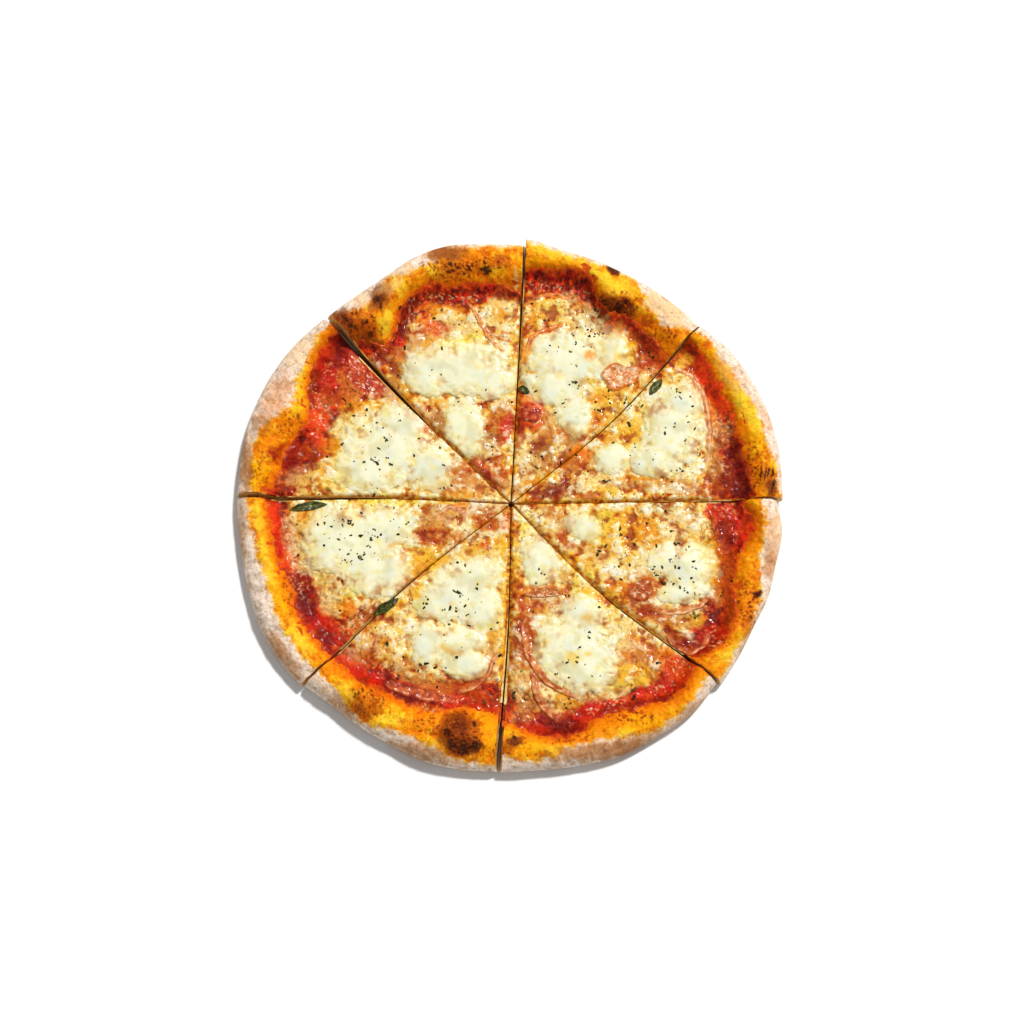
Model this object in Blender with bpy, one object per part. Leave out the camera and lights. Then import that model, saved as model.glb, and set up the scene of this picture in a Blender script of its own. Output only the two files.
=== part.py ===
"""A round thin-base pizza, cut into eight slices that still lie together.

Each slice is a wedge of dough with a raised, puffed rim, a layer of tomato
sauce and a layer of melted cheese. On the cheese lie pools of mozzarella,
thin slices of ham, basil leaves and one piece of tomato. All sizes are in
millimetres and are turned into metres when a mesh is made. The origin is
under the middle of the pizza, on the surface that it rests on.
"""

import math

import bpy
import numpy as np
from mathutils import Vector
from mathutils.bvhtree import BVHTree

MM = 0.001

# Driving sizes, in millimetres.
TIP_RADIUS = 3.0  # each wedge starts this far from where the cuts meet
BASE_THICKNESS = 4.2  # baked dough under the toppings
RIM_CREST_IN = 11.0  # the rim's highest line, in from its edge
RIM_FOOT_IN = 27.0  # where the rim rises from the base, in from the edge
EDGE_HEIGHT = 5.5  # height of the rim's widest line
UNDER_ROUND = 7.0  # how far the underside curls up at the edge
SAUCE_THICKNESS = 1.0
CHEESE_THICKNESS = 2.4
GAP = 0.3  # air between two pieces that touch
SKIN = 0.45  # air under a topping, whose faces cross those below it

SAUCE_REACH = 0.885  # share of the radius that the sauce covers
CHEESE_REACH = 0.815

COLUMNS = 10  # divisions across a slice
DOUGH_ROWS = (0.0, 0.16, 0.36, 0.56, 0.70, 0.815, 0.85, 0.885, 0.91, 0.935, 0.96, 0.98, 0.993, 1.0)

# Cuts in clockwise order from the top: angle near the middle, angle at the
# rim, half of the gap at the top and at the bottom of the rim.
CUTS = (
    (87.0, 87.0, 0.9, 0.4),
    (39.0, 43.8, 0.5, 0.3),
    (1.0, 0.9, 0.7, 0.3),
    (-46.5, -41.7, 0.9, 0.4),
    (-90.8, -92.7, 1.9, 0.4),
    (-142.0, -138.1, 0.8, 0.4),
    (177.0, 178.6, 1.5, 0.9),
    (135.5, 134.0, 2.0, 1.1),
)
MIDDLE_GAP = 0.3  # half of a cut's gap near the middle

# Radius of the outline at seven places across each slice, clockwise.
OUTLINES = (
    (153.9, 150.3, 148.7, 147.7, 147.2, 146.7, 146.7),
    (147.1, 150.1, 151.1, 151.6, 151.3, 150.4, 149.4),
    (146.3, 149.4, 148.6, 149.6, 148.7, 150.0, 151.4),
    (149.4, 151.7, 151.2, 151.3, 149.2, 147.9, 148.4),
    (148.0, 149.2, 149.8, 148.3, 148.1, 147.8, 150.5),
    (151.9, 152.9, 152.8, 151.5, 150.4, 149.9, 150.7),
    (150.4, 151.0, 152.1, 152.4, 152.0, 150.8, 148.9),
    (148.5, 148.0, 149.1, 152.7, 153.5, 150.9, 150.1),
)
CREST_HEIGHTS = (15.5, 14.0, 14.0, 14.0, 15.0, 14.0, 15.5, 16.5)

# Blisters of the rim: distance from the middle, angle, radius, height.
BLISTERS = (
    (132.0, -125.0, 12.0, 4.5),
    (130.0, -101.5, 13.0, 6.0),
    (133.0, 129.5, 12.0, 3.5),
    (129.0, 64.0, 11.0, 3.0),
)

# Mozzarella: slice, x, y, half length, half width, turn, crown.
MOZZARELLA = {
    "mozzarella_1a": (0, 40.2, 81.5, 25.5, 17.0, -6.0, 2.4),
    "mozzarella_1b": (0, 34.5, 50.0, 11.5, 11.5, 30.0, 1.8),
    "mozzarella_2a": (1, 89.0, 41.5, 18.5, 24.5, -8.0, 2.6),
    "mozzarella_2b": (1, 56.0, 23.2, 9.5, 10.0, 0.0, 1.7),
    "mozzarella_3a": (2, 96.1, -39.0, 17.5, 16.0, 10.0, 2.2),
    "mozzarella_3b": (2, 41.0, -15.0, 9.5, 8.5, -15.0, 1.4),
    "mozzarella_4a": (3, 34.6, -80.6, 24.0, 23.5, 0.0, 3.0),
    "mozzarella_4b": (3, 16.3, -35.4, 10.5, 12.0, 0.0, 1.6),
    "mozzarella_5a": (4, -30.4, -49.6, 14.5, 16.5, 20.0, 2.0),
    "mozzarella_5b": (4, -31.9, -82.3, 18.0, 13.5, 0.0, 2.2),
    "mozzarella_6a": (5, -86.2, -28.5, 26.0, 20.0, 5.0, 2.4),
    "mozzarella_7a": (6, -69.3, 31.5, 22.5, 21.0, -10.0, 2.2),
    "mozzarella_7b": (6, -40.5, 21.5, 10.5, 9.0, -20.0, 1.7),
    "mozzarella_8a": (7, -27.5, 77.5, 26.0, 17.0, 8.0, 2.8),
    "mozzarella_8b": (7, -20.5, 46.0, 9.0, 12.0, 10.0, 1.5),
}

# Flat ham pieces: slice, x, y, half length, half width, turn.
HAM_SLICES = {
    "ham_1c": (0, 61.5, 73.0, 11.0, 7.5, 12.0),
    "ham_3c": (2, 71.0, -49.0, 7.5, 6.5, 20.0),
    "ham_4c": (3, 19.5, -52.0, 9.5, 3.2, 4.0),
    "ham_7a": (6, -84.0, 76.0, 9.5, 13.5, 38.0),
}

# Raised edges of folded ham: slice, start, middle, end, width, height.
HAM_FOLDS = {
    "ham_1a": (0, (14.5, 118.8), (23.4, 121.7), (32.9, 117.6), 4.5, 2.2),
    "ham_1b": (0, (10.6, 99.0), (17.2, 104.5), (28.4, 107.0), 4.5, 2.6),
    "ham_2a": (1, (89.2, 76.0), (106.0, 71.5), (111.7, 36.1), 4.0, 3.0),
    "ham_3a": (2, (79.5, -58.0), (92.8, -62.5), (108.5, -57.0), 4.5, 2.4),
    "ham_3b": (2, (89.0, -75.0), (100.5, -79.5), (105.2, -68.5), 4.5, 3.0),
    "ham_4a": (3, (7.5, -69.4), (9.5, -97.0), (35.6, -109.0), 3.6, 2.6),
    "ham_4b": (3, (4.5, -95.0), (11.0, -110.0), (24.8, -119.0), 4.0, 2.8),
    "ham_5a": (4, (-64.2, -97.7), (-43.7, -102.2), (-23.7, -102.4), 6.0, 2.4),
    "ham_8a": (7, (-21.2, 105.0), (-10.0, 98.0), (-2.3, 87.0), 6.0, 2.6),
}

# Basil leaves: x, y, half length, half width, turn.
LEAVES = {
    "basil_1": (7.6, 65.0, 4.5, 2.6, 20.0),
    "basil_2": (79.7, 67.1, 7.0, 3.2, 62.0),
    "basil_6a": (-68.5, -56.8, 10.5, 3.6, 41.0),
    "basil_6b": (-111.2, -3.6, 11.5, 2.6, 2.0),
}

# Tomato: slice, x, y, half length, half width, turn, crown.
TOMATO = {"tomato_1": (0, 10.6, 51.0, 5.6, 6.2, 0.0, 3.0)}

COLOURS = {
    "dough": ((0.80, 0.50, 0.16), 0.75),
    "sauce": ((0.45, 0.03, 0.02), 0.35),
    "cheese": ((0.80, 0.62, 0.28), 0.35),
    "mozzarella": ((0.88, 0.86, 0.68), 0.30),
    "ham": ((0.66, 0.27, 0.12), 0.40),
    "basil": ((0.06, 0.12, 0.02), 0.50),
    "tomato": ((0.55, 0.08, 0.03), 0.30),
}


def smoothstep(value):
    """0 to 1 with flat ends."""
    value = min(max(value, 0.0), 1.0)
    return value * value * (3.0 - 2.0 * value)


def through(values, share):
    """A smooth curve through evenly spaced values, read at a share of its length."""
    place = min(max(share, 0.0), 1.0) * (len(values) - 1)
    i = min(int(place), len(values) - 2)
    t = place - i
    before, start = values[max(i - 1, 0)], values[i]
    end, after = values[i + 1], values[min(i + 2, len(values) - 1)]
    return 0.5 * (
        2.0 * start
        + (end - before) * t
        + (2.0 * before - 5.0 * start + 4.0 * end - after) * t * t
        + (3.0 * start - before - 3.0 * end + after) * t**3
    )


def cut_side(cut, side, radius, lower):
    """The angle of a cut's clockwise (-1) or other (+1) side at a radius, in radians."""
    inner, outer, half_top, half_bottom = CUTS[cut % 8]
    angle = inner + (outer - inner) * smoothstep((radius - 40.0) / 105.0)
    half = half_bottom if lower else half_top
    half = MIDDLE_GAP + (half - MIDDLE_GAP) * smoothstep((radius - 50.0) / 60.0)
    return math.radians(angle) + side * math.asin(min(half / radius, 0.9))


def on_slice(k, row, column, lower):
    """x, y and the distance in from the edge, for shares of a slice's length and width."""
    edge = through(OUTLINES[k], column)
    radius = TIP_RADIUS + (edge - TIP_RADIUS) * row
    first = cut_side(k, -1, radius, lower)
    last = cut_side(k + 1, 1, radius, lower)
    if last > first:
        last -= 2.0 * math.pi
    angle = first + (last - first) * column
    return radius * math.cos(angle), radius * math.sin(angle), edge - radius


def swell(x, y, period, phase):
    """A slow unevenness of the baked surface, from -1 to 1."""
    return 0.5 * (
        math.sin(x * 2.0 * math.pi / period + phase)
        + math.cos(y * 2.0 * math.pi / (period * 1.3) + 1.7 * phase)
    )


def dough_top(k, x, y, inward):
    """Height of the dough's upper surface."""
    crest = CREST_HEIGHTS[k] + 1.0 * swell(x, y, 47.0, 0.6)
    if inward < RIM_CREST_IN:
        share = (RIM_CREST_IN - inward) / RIM_CREST_IN
        height = EDGE_HEIGHT + (crest - EDGE_HEIGHT) * math.sqrt(max(0.0, 1.0 - share * share))
    else:
        rise = smoothstep((RIM_FOOT_IN - inward) / (RIM_FOOT_IN - RIM_CREST_IN))
        height = BASE_THICKNESS + (crest - BASE_THICKNESS) * rise
    for distance, angle, size, rise in BLISTERS:
        away = math.hypot(
            x - distance * math.cos(math.radians(angle)),
            y - distance * math.sin(math.radians(angle)),
        )
        if away < size:
            edge_share = smoothstep(inward / 6.0)
            height += rise * edge_share * math.cos(0.5 * math.pi * away / size) ** 1.5
    return height


def dough_bottom(k, x, y, inward):
    """Height of the dough's underside, which curls up at the edge."""
    share = max(0.0, (UNDER_ROUND - inward) / UNDER_ROUND)
    return EDGE_HEIGHT * (1.0 - math.sqrt(max(0.0, 1.0 - share * share)))


def sauce_bottom(k, x, y, inward):
    return dough_top(k, x, y, inward) + GAP


def sauce_top(k, x, y, inward):
    fade = smoothstep((inward - 16.0) / 8.0)
    return sauce_bottom(k, x, y, inward) + 0.35 + (SAUCE_THICKNESS - 0.35) * fade


def cheese_bottom(k, x, y, inward):
    return sauce_top(k, x, y, inward) + GAP


def cheese_top(k, x, y, inward):
    fade = smoothstep((inward - 26.0) / 14.0)
    lump = 0.35 * swell(x, y, 31.0, 2.1)
    return cheese_bottom(k, x, y, inward) + 0.5 + (CHEESE_THICKNESS - 0.5 + lump) * fade


def material(kind):
    """One Principled material for each kind of food."""
    made = bpy.data.materials.get(kind)
    if made is None:
        colour, rough = COLOURS[kind]
        made = bpy.data.materials.new(kind)
        made.use_nodes = True
        shader = made.node_tree.nodes["Principled BSDF"]
        shader.inputs["Base Color"].default_value = (*colour, 1.0)
        shader.inputs["Roughness"].default_value = rough
        shader.inputs["Metallic"].default_value = 0.0
        made.diffuse_color = (*colour, 1.0)
    return made


made_points, made_faces = [], []


def make(name, kind, points, faces):
    """An object from points in millimetres and triangles that face out."""
    offset = len(made_points)
    made_points.extend(Vector(point) for point in points)
    made_faces.extend(tuple(offset + i for i in face) for face in faces)
    mesh = bpy.data.meshes.new(name)
    mesh.from_pydata([(x * MM, y * MM, z * MM) for x, y, z in points], [], faces)
    mesh.validate()
    mesh.materials.append(material(kind))
    mesh.shade_smooth()
    mesh.set_sharp_from_angle(angle=math.radians(38.0))
    made = bpy.data.objects.new(name, mesh)
    bpy.context.scene.collection.objects.link(made)
    return made


def sheet_faces(rows, columns, start, up):
    """Triangles of a grid of points, facing up or down."""
    faces = []
    for i in range(rows - 1):
        for j in range(columns - 1):
            a = start + i * columns + j
            b, c, d = a + 1, a + columns + 1, a + columns
            faces += [(a, b, c), (a, c, d)] if up else [(a, c, b), (a, d, c)]
    return faces


def wall_faces(upper, lower):
    """Triangles between two lines of points, walked with the outside on the right."""
    faces = []
    for i in range(len(upper) - 1):
        a, b = upper[i], upper[i + 1]
        c, d = lower[i + 1], lower[i]
        if c == b:
            faces.append((a, b, d))
        elif d == a:
            faces.append((a, b, c))
        else:
            faces += [(a, b, c), (a, c, d)]
    return faces


def layer(name, kind, k, rows, top, bottom, round_edge):
    """One wedge-shaped layer of slice k between two height functions."""
    across = [j / COLUMNS for j in range(COLUMNS + 1)]
    points = []
    for lower, height in ((False, top), (True, bottom)):
        for row in rows:
            for column in across:
                x, y, inward = on_slice(k, row, column, lower and kind == "dough")
                points.append((x, y, height(k, x, y, inward)))
    n, m = len(rows), len(across)
    size = n * m
    faces = sheet_faces(n, m, 0, True)
    under = sheet_faces(n, m, size, False)
    if round_edge:
        # The last row of the top and of the underside are one line of points.
        join = {size + (n - 1) * m + j: (n - 1) * m + j for j in range(m)}
        under = [tuple(join.get(i, i) for i in face) for face in under]
    else:
        join = {}
    faces += under

    def line(indices, lower):
        found = [i + (size if lower else 0) for i in indices]
        return [join.get(i, i) for i in found]

    first = [i * m for i in range(n)]
    last = [i * m + m - 1 for i in range(n)]
    tip = list(range(m))
    outer = [(n - 1) * m + j for j in range(m)]
    faces += wall_faces(line(first, False), line(first, True))
    faces += wall_faces(line(last[::-1], False), line(last[::-1], True))
    faces += wall_faces(line(tip[::-1], False), line(tip[::-1], True))
    if round_edge:
        points = points[: size + (n - 1) * m]
    else:
        faces += wall_faces(line(outer, False), line(outer, True))
    return make(name, kind, points, faces)


def top_of_made(tree, x, y, reach):
    """The highest surface made so far, at a point and close around it."""
    found = 0.0
    for step in range(9):
        away = 0.0 if step == 8 else reach
        px = x + away * math.cos(step * math.pi / 4.0)
        py = y + away * math.sin(step * math.pi / 4.0)
        place = tree.ray_cast(Vector((px, py, 100.0)), Vector((0.0, 0.0, -1.0)))[0]
        if place is not None:
            found = max(found, place.z)
    return found


def kept_in(k, x, y, margin):
    """A point moved, if need be, to stay a margin inside slice k's cuts."""
    if k is None:
        return x, y
    radius = math.hypot(x, y)
    first = cut_side(k, -1, radius, False) - margin / radius
    last = cut_side(k + 1, 1, radius, False) + margin / radius
    if last > first:
        last -= 2.0 * math.pi
    angle = math.atan2(y, x)
    middle = 0.5 * (first + last)
    while angle > middle + math.pi:
        angle -= 2.0 * math.pi
    while angle < middle - math.pi:
        angle += 2.0 * math.pi
    angle = min(max(angle, last), first)
    return radius * math.cos(angle), radius * math.sin(angle)


def disc(name, kind, k, x, y, half_length, half_width, turn, crown, lip, leaf=False):
    """A crowned piece with an uneven outline, laid on what is below it."""
    segments, rings = 14, (1.0, 0.72, 0.38)
    seed = 0.37 * x + 0.61 * y
    tree = BVHTree.FromPolygons(made_points, made_faces)
    cosine, sine = math.cos(math.radians(turn)), math.sin(math.radians(turn))
    upper, lower = [], []
    for ring in (*rings, 0.0):
        for j in range(segments if ring else 1):
            phi = 2.0 * math.pi * j / segments
            wave = 1.0 + 0.06 * math.sin(3.0 * phi + seed) + 0.045 * math.sin(5.0 * phi + 2.0 * seed)
            along = half_length * ring * math.cos(phi)
            side = half_width * ring * math.sin(phi)
            if leaf:
                side *= abs(math.sin(phi)) ** 0.7
            else:
                along, side = along * wave, side * wave
            px, py = kept_in(k, x + along * cosine - side * sine, y + along * sine + side * cosine, 1.2)
            below = top_of_made(tree, px, py, 2.5) + SKIN
            lower.append((px, py, below))
            upper.append((px, py, below + lip + crown * (1.0 - ring**2) ** 0.8))
    size = len(upper)
    faces = []
    for up, start in ((True, 0), (False, size)):
        for i in range(len(rings)):
            for j in range(segments):
                a = start + i * segments + j
                b = start + i * segments + (j + 1) % segments
                if i == len(rings) - 1:
                    found = [(a, b, start + size - 1)]
                else:
                    found = [(a, b, b + segments), (a, b + segments, a + segments)]
                faces += found if up else [(p, r, q) for p, q, r in found]
    for j in range(segments):
        a, b = j, (j + 1) % segments
        faces += [(a, a + size, b + size), (a, b + size, b)]
    return make(name, kind, upper + lower, faces)


def fold(name, kind, k, start, middle, end, width, height):
    """The raised edge of a folded slice: a low strip along a curve."""
    stations = 9
    tree = BVHTree.FromPolygons(made_points, made_faces)
    points, faces = [], []
    for i in range(stations):
        t = i / (stations - 1)
        px = (1 - t) ** 2 * start[0] + 2 * t * (1 - t) * middle[0] + t * t * end[0]
        py = (1 - t) ** 2 * start[1] + 2 * t * (1 - t) * middle[1] + t * t * end[1]
        dx = 2 * (1 - t) * (middle[0] - start[0]) + 2 * t * (end[0] - middle[0])
        dy = 2 * (1 - t) * (middle[1] - start[1]) + 2 * t * (end[1] - middle[1])
        length = math.hypot(dx, dy)
        nx, ny = -dy / length, dx / length
        taper = 0.35 + 0.65 * math.sin(math.pi * (0.08 + 0.84 * t))
        half = 0.5 * width * taper
        rise = height * taper
        sides = [kept_in(k, px + s * half * nx, py + s * half * ny, 0.8) for s in (1, -1)]
        low = max(top_of_made(tree, x, y, 1.8) for x, y in (*sides, (px, py))) + SKIN
        for (x, y), lift in ((sides[0], 0.0), (sides[1], 0.0), (sides[1], 0.5), (sides[0], 0.5)):
            if lift:
                x, y = x + (px - x) * 0.35, y + (py - y) * 0.35
                points.append((x, y, low + rise))
            else:
                points.append((x, y, low))
    for i in range(stations - 1):
        for j in range(4):
            a, b = 4 * i + j, 4 * i + (j + 1) % 4
            faces += [(a, a + 4, b + 4), (a, b + 4, b)]
    faces += [(0, 1, 2), (0, 2, 3)]
    tail = 4 * (stations - 1)
    faces += [(tail, tail + 2, tail + 1), (tail, tail + 3, tail + 2)]
    return make(name, kind, points, faces)


def main():
    for thing in list(bpy.data.objects):
        bpy.data.objects.remove(thing, do_unlink=True)
    sauce_rows = tuple(row for row in DOUGH_ROWS if row <= SAUCE_REACH)
    cheese_rows = tuple(row for row in DOUGH_ROWS if row <= CHEESE_REACH)
    for k in range(8):
        layer(f"slice_{k + 1}_dough", "dough", k, DOUGH_ROWS, dough_top, dough_bottom, True)
        layer(f"slice_{k + 1}_sauce", "sauce", k, sauce_rows, sauce_top, sauce_bottom, False)
        layer(f"slice_{k + 1}_cheese", "cheese", k, cheese_rows, cheese_top, cheese_bottom, False)
    for name, (k, x, y, a, b, turn, crown) in MOZZARELLA.items():
        disc(name, "mozzarella", k, x, y, a, b, turn, crown, 0.6)
    for name, (k, x, y, a, b, turn, crown) in TOMATO.items():
        disc(name, "tomato", k, x, y, a, b, turn, crown, 0.6)
    for name, (k, x, y, a, b, turn) in HAM_SLICES.items():
        disc(name, "ham", k, x, y, a, b, turn, 0.6, 1.0)
    for name, (k, start, middle, end, width, height) in HAM_FOLDS.items():
        fold(name, "ham", k, start, middle, end, width, height)
    for name, (x, y, a, b, turn) in LEAVES.items():
        disc(name, "basil", None, x, y, a, b, turn, 0.3, 0.7, leaf=True)

    # The origin goes under the middle of the whole pizza.
    low = np.min(np.array([tuple(point) for point in made_points]), axis=0)
    high = np.max(np.array([tuple(point) for point in made_points]), axis=0)
    shift = Vector((-(low[0] + high[0]) / 2 * MM, -(low[1] + high[1]) / 2 * MM, -low[2] * MM))
    for made in bpy.data.objects:
        made.location = shift
    bpy.context.view_layer.update()


main()
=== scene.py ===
"""The looks of a round pizza in eight slices: baked dough, wet sauce, melted cheese,
mozzarella pools, ham, basil and dried herbs, as fine meshes around the fixed frame.

Lengths are in millimetres until a mesh is made. The plan (u, v) counts steps of about
0.55 mm across and down, and gives the places of the toppings.
"""

import math

import bpy
import numpy as np
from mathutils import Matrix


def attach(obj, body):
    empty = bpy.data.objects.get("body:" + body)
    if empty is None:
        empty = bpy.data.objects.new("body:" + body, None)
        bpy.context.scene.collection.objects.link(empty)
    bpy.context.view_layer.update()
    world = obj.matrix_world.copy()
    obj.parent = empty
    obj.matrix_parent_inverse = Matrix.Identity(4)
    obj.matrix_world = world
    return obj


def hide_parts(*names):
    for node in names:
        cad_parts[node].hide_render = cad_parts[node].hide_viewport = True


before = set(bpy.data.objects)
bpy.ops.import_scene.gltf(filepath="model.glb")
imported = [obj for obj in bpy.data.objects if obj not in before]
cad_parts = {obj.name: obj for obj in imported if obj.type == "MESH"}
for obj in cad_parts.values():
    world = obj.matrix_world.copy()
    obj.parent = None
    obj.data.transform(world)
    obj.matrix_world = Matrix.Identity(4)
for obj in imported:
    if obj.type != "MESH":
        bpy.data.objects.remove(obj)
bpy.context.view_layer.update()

MM = 0.001
SHIFT = (0.6576, -2.6634)  # where the cuts meet, from the origin
TIP = 1.6
EDGE_IN = 0.35  # the fine outline keeps inside the frame's
TOP_LIMIT = 19.6

CUTS = (
    (87.0, 87.0, 0.9, 0.4),
    (39.0, 43.8, 0.5, 0.3),
    (1.0, 0.9, 0.7, 0.3),
    (-46.5, -41.7, 0.9, 0.4),
    (-90.8, -92.7, 1.9, 0.4),
    (-142.0, -138.1, 0.8, 0.4),
    (177.0, 178.6, 1.5, 0.9),
    (135.5, 134.0, 2.0, 1.1),
)
MIDDLE_GAP = 0.3
OUTLINES = (
    (153.9, 150.3, 148.7, 147.7, 147.2, 146.7, 146.7),
    (147.1, 150.1, 151.1, 151.6, 151.3, 150.4, 149.4),
    (146.3, 149.4, 148.6, 149.6, 148.7, 150.0, 151.4),
    (149.4, 151.7, 151.2, 151.3, 149.2, 147.9, 148.4),
    (148.0, 149.2, 149.8, 148.3, 148.1, 147.8, 150.5),
    (151.9, 152.9, 152.8, 151.5, 150.4, 149.9, 150.7),
    (150.4, 151.0, 152.1, 152.4, 152.0, 150.8, 148.9),
    (148.5, 148.0, 149.1, 152.7, 153.5, 150.9, 150.1),
)
CRESTS = (15.5, 14.0, 14.0, 14.0, 15.0, 14.0, 15.5, 16.5)
BLISTERS = (
    (132.0, -125.0, 12.0, 4.5),
    (130.0, -101.5, 13.0, 6.0),
    (133.0, 129.5, 12.0, 3.5),
    (129.0, 64.0, 11.0, 3.0),
)

# Where flour begins and where sauce ends, as radii at seven places across a slice.
FLOUR = (
    (150.8, 147.0, 145.2, 145.7, 141.7, 132.1, 140.3),
    (142.8, 142.5, 142.9, 144.3, 143.7, 145.6, 147.1),
    (137.5, 139.0, 138.9, 144.0, 146.3, 145.7, 148.5),
    (141.9, 145.7, 147.6, 140.1, 137.4, 142.3, 138.7),
    (143.3, 144.0, 140.2, 139.5, 144.0, 140.2, 138.7),
    (139.9, 141.0, 140.9, 139.3, 139.7, 141.7, 143.7),
    (141.5, 144.3, 143.3, 133.9, 137.2, 140.9, 144.2),
    (147.2, 138.6, 145.2, 143.4, 147.9, 148.3, 146.7),
)
SAUCE = (
    (135.0, 137.4, 138.5, 124.7, 125.9, 122.6, 120.6),
    (136.0, 135.6, 133.2, 133.4, 131.4, 132.6, 134.0),
    (128.1, 134.9, 128.1, 129.8, 137.6, 138.6, 132.3),
    (135.9, 140.1, 132.7, 128.5, 133.6, 129.5, 119.9),
    (118.0, 115.2, 121.3, 124.6, 126.0, 129.1, 130.2),
    (129.7, 131.1, 130.4, 129.1, 131.1, 132.7, 134.2),
    (133.5, 128.2, 126.1, 122.6, 131.1, 136.8, 138.6),
    (127.2, 115.1, 129.0, 132.7, 129.2, 127.7, 122.0),
)
# Width of the bare sauce outside the cheese, across a slice.
BANDS = (
    (12, 13, 14, 12, 8, 6, 6),
    (9, 8, 9, 10, 14.5, 17.5, 20),
    (20, 22, 18, 14, 16, 17, 14),
    (14, 13, 12, 11, 14, 17, 16),
    (15, 17, 16, 14, 13, 12, 12),
    (14, 16, 17, 15, 12, 10, 10),
    (12, 14, 19, 21, 22, 24, 26),
    (7, 8, 9, 11, 11, 9, 3),
)


# ------------------------------------------------------------------ noise


def hashed(ix, iy, seed):
    n = (ix.astype(np.int64) * 374761393 + iy.astype(np.int64) * 668265263 + seed * 1442695041) & 0xFFFFFFFF
    n = ((n ^ (n >> 13)) * 1274126177) & 0xFFFFFFFF
    n = ((n ^ (n >> 15)) * 2246822519) & 0xFFFFFFFF
    return ((n ^ (n >> 16)) & 0xFFFFFF) / float(0xFFFFFF)


def noise(x, y, size, seed):
    """Gradient noise, about -1 to 1, with features as large as size."""
    x, y = np.asarray(x, float) / size, np.asarray(y, float) / size
    x0, y0 = np.floor(x), np.floor(y)
    fx, fy = x - x0, y - y0
    sx = fx * fx * fx * (fx * (fx * 6 - 15) + 10)
    sy = fy * fy * fy * (fy * (fy * 6 - 15) + 10)

    def corner(dx, dy):
        turn = hashed(x0 + dx, y0 + dy, seed) * 2 * math.pi
        return np.cos(turn) * (fx - dx) + np.sin(turn) * (fy - dy)

    low = corner(0, 0) * (1 - sx) + corner(1, 0) * sx
    high = corner(0, 1) * (1 - sx) + corner(1, 1) * sx
    return (low * (1 - sy) + high * sy) * 1.5


def fbm(x, y, size, octaves, seed, gain=0.5):
    total, weight, norm = 0.0, 1.0, 0.0
    for i in range(octaves):
        total = total + weight * noise(x, y, size / 2**i, seed + 17 * i)
        norm += weight
        weight *= gain
    return total / norm * 1.35


def cells(x, y, size, seed):
    """Distance to the nearest of scattered points, in cell sizes, and that point's own number."""
    x, y = np.asarray(x, float) / size, np.asarray(y, float) / size
    x0, y0 = np.floor(x), np.floor(y)
    best = np.full(x.shape, 9.0)
    own = np.zeros(x.shape)
    for dx in (-1, 0, 1):
        for dy in (-1, 0, 1):
            cx, cy = x0 + dx, y0 + dy
            px = cx + hashed(cx, cy, seed)
            py = cy + hashed(cx, cy, seed + 5)
            d = np.hypot(px - x, py - y)
            nearer = d < best
            own = np.where(nearer, hashed(cx, cy, seed + 9), own)
            best = np.where(nearer, d, best)
    return best, own


def ease(value):
    value = np.clip(value, 0.0, 1.0)
    return value * value * (3.0 - 2.0 * value)


def through(values, share):
    """A smooth curve through evenly spaced values."""
    values = np.asarray(values, float)
    place = np.clip(share, 0.0, 1.0) * (len(values) - 1)
    i = np.minimum(place.astype(int), len(values) - 2)
    t = place - i
    p = values[np.maximum(i - 1, 0)]
    a, b = values[i], values[i + 1]
    q = values[np.minimum(i + 2, len(values) - 1)]
    return 0.5 * (2 * a + (b - p) * t + (2 * p - 5 * a + 4 * b - q) * t**2 + (3 * a - p - 3 * b + q) * t**3)


def mixed(a, b, share):
    return a + (b - a) * np.clip(share, 0.0, 1.0)[..., None]


# ------------------------------------------------------------------ plan and camera

ELEVATION = math.radians(76.0)
DISTANCE = 1.6
WIDE = 0.5605
BACK = np.array([0.0, -math.cos(ELEVATION), math.sin(ELEVATION)])
RIGHT = np.array([1.0, 0.0, 0.0])
UP = np.cross(BACK, RIGHT)
MIDDLE = np.array([SHIFT[0] * MM, SHIFT[1] * MM, 0.008])
OFF_U, OFF_V = (511 - 512) / 1024 * WIDE, -(503.5 - 512) / 1024 * WIDE
EYE = MIDDLE + BACK * DISTANCE - OFF_U * RIGHT - OFF_V * UP
LEAN = math.cos(ELEVATION) / math.sin(ELEVATION)


def plan(x, y, z=8.0):
    """u and v of points in millimetres from where the cuts meet."""
    p = np.stack([(x + SHIFT[0]) * MM, (y + SHIFT[1]) * MM, np.broadcast_to(np.asarray(z, float) * MM, np.shape(x))], -1) - EYE
    depth = -(p @ BACK)
    return 512 + (p @ RIGHT) / depth * DISTANCE / WIDE * 1024, 512 - (p @ UP) / depth * DISTANCE / WIDE * 1024


def unplan(u, v, z=8.0):
    """x and y in millimetres of plan places, at a height."""
    u, v = np.asarray(u, float), np.asarray(v, float)
    ray = -BACK * DISTANCE + ((u - 512) / 1024 * WIDE)[..., None] * RIGHT + (-(v - 512) / 1024 * WIDE)[..., None] * UP
    t = (z * MM - EYE[2]) / ray[..., 2]
    p = (EYE + ray * t[..., None])[..., :2] / MM
    return p[..., 0] - SHIFT[0], p[..., 1] - SHIFT[1]


def cut_side(cut, side, radius, lower=False):
    inner, outer, half_top, half_bottom = CUTS[cut % 8]
    angle = inner + (outer - inner) * ease((radius - 40.0) / 105.0)
    half = half_bottom if lower else half_top
    half = MIDDLE_GAP + (half - MIDDLE_GAP) * ease((radius - 50.0) / 60.0)
    rough = 0.0 if lower else 0.22 * noise(radius, radius * 0 + 7.0 * cut + side, 5.0, 40 + cut) + 0.12 * noise(radius, radius * 0 + 3.0 * cut, 1.7, 70 + cut)
    half = np.maximum(half + side * rough, 0.12)
    return np.radians(angle) + side * np.arcsin(np.clip(half / radius, 0, 0.85))


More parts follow.
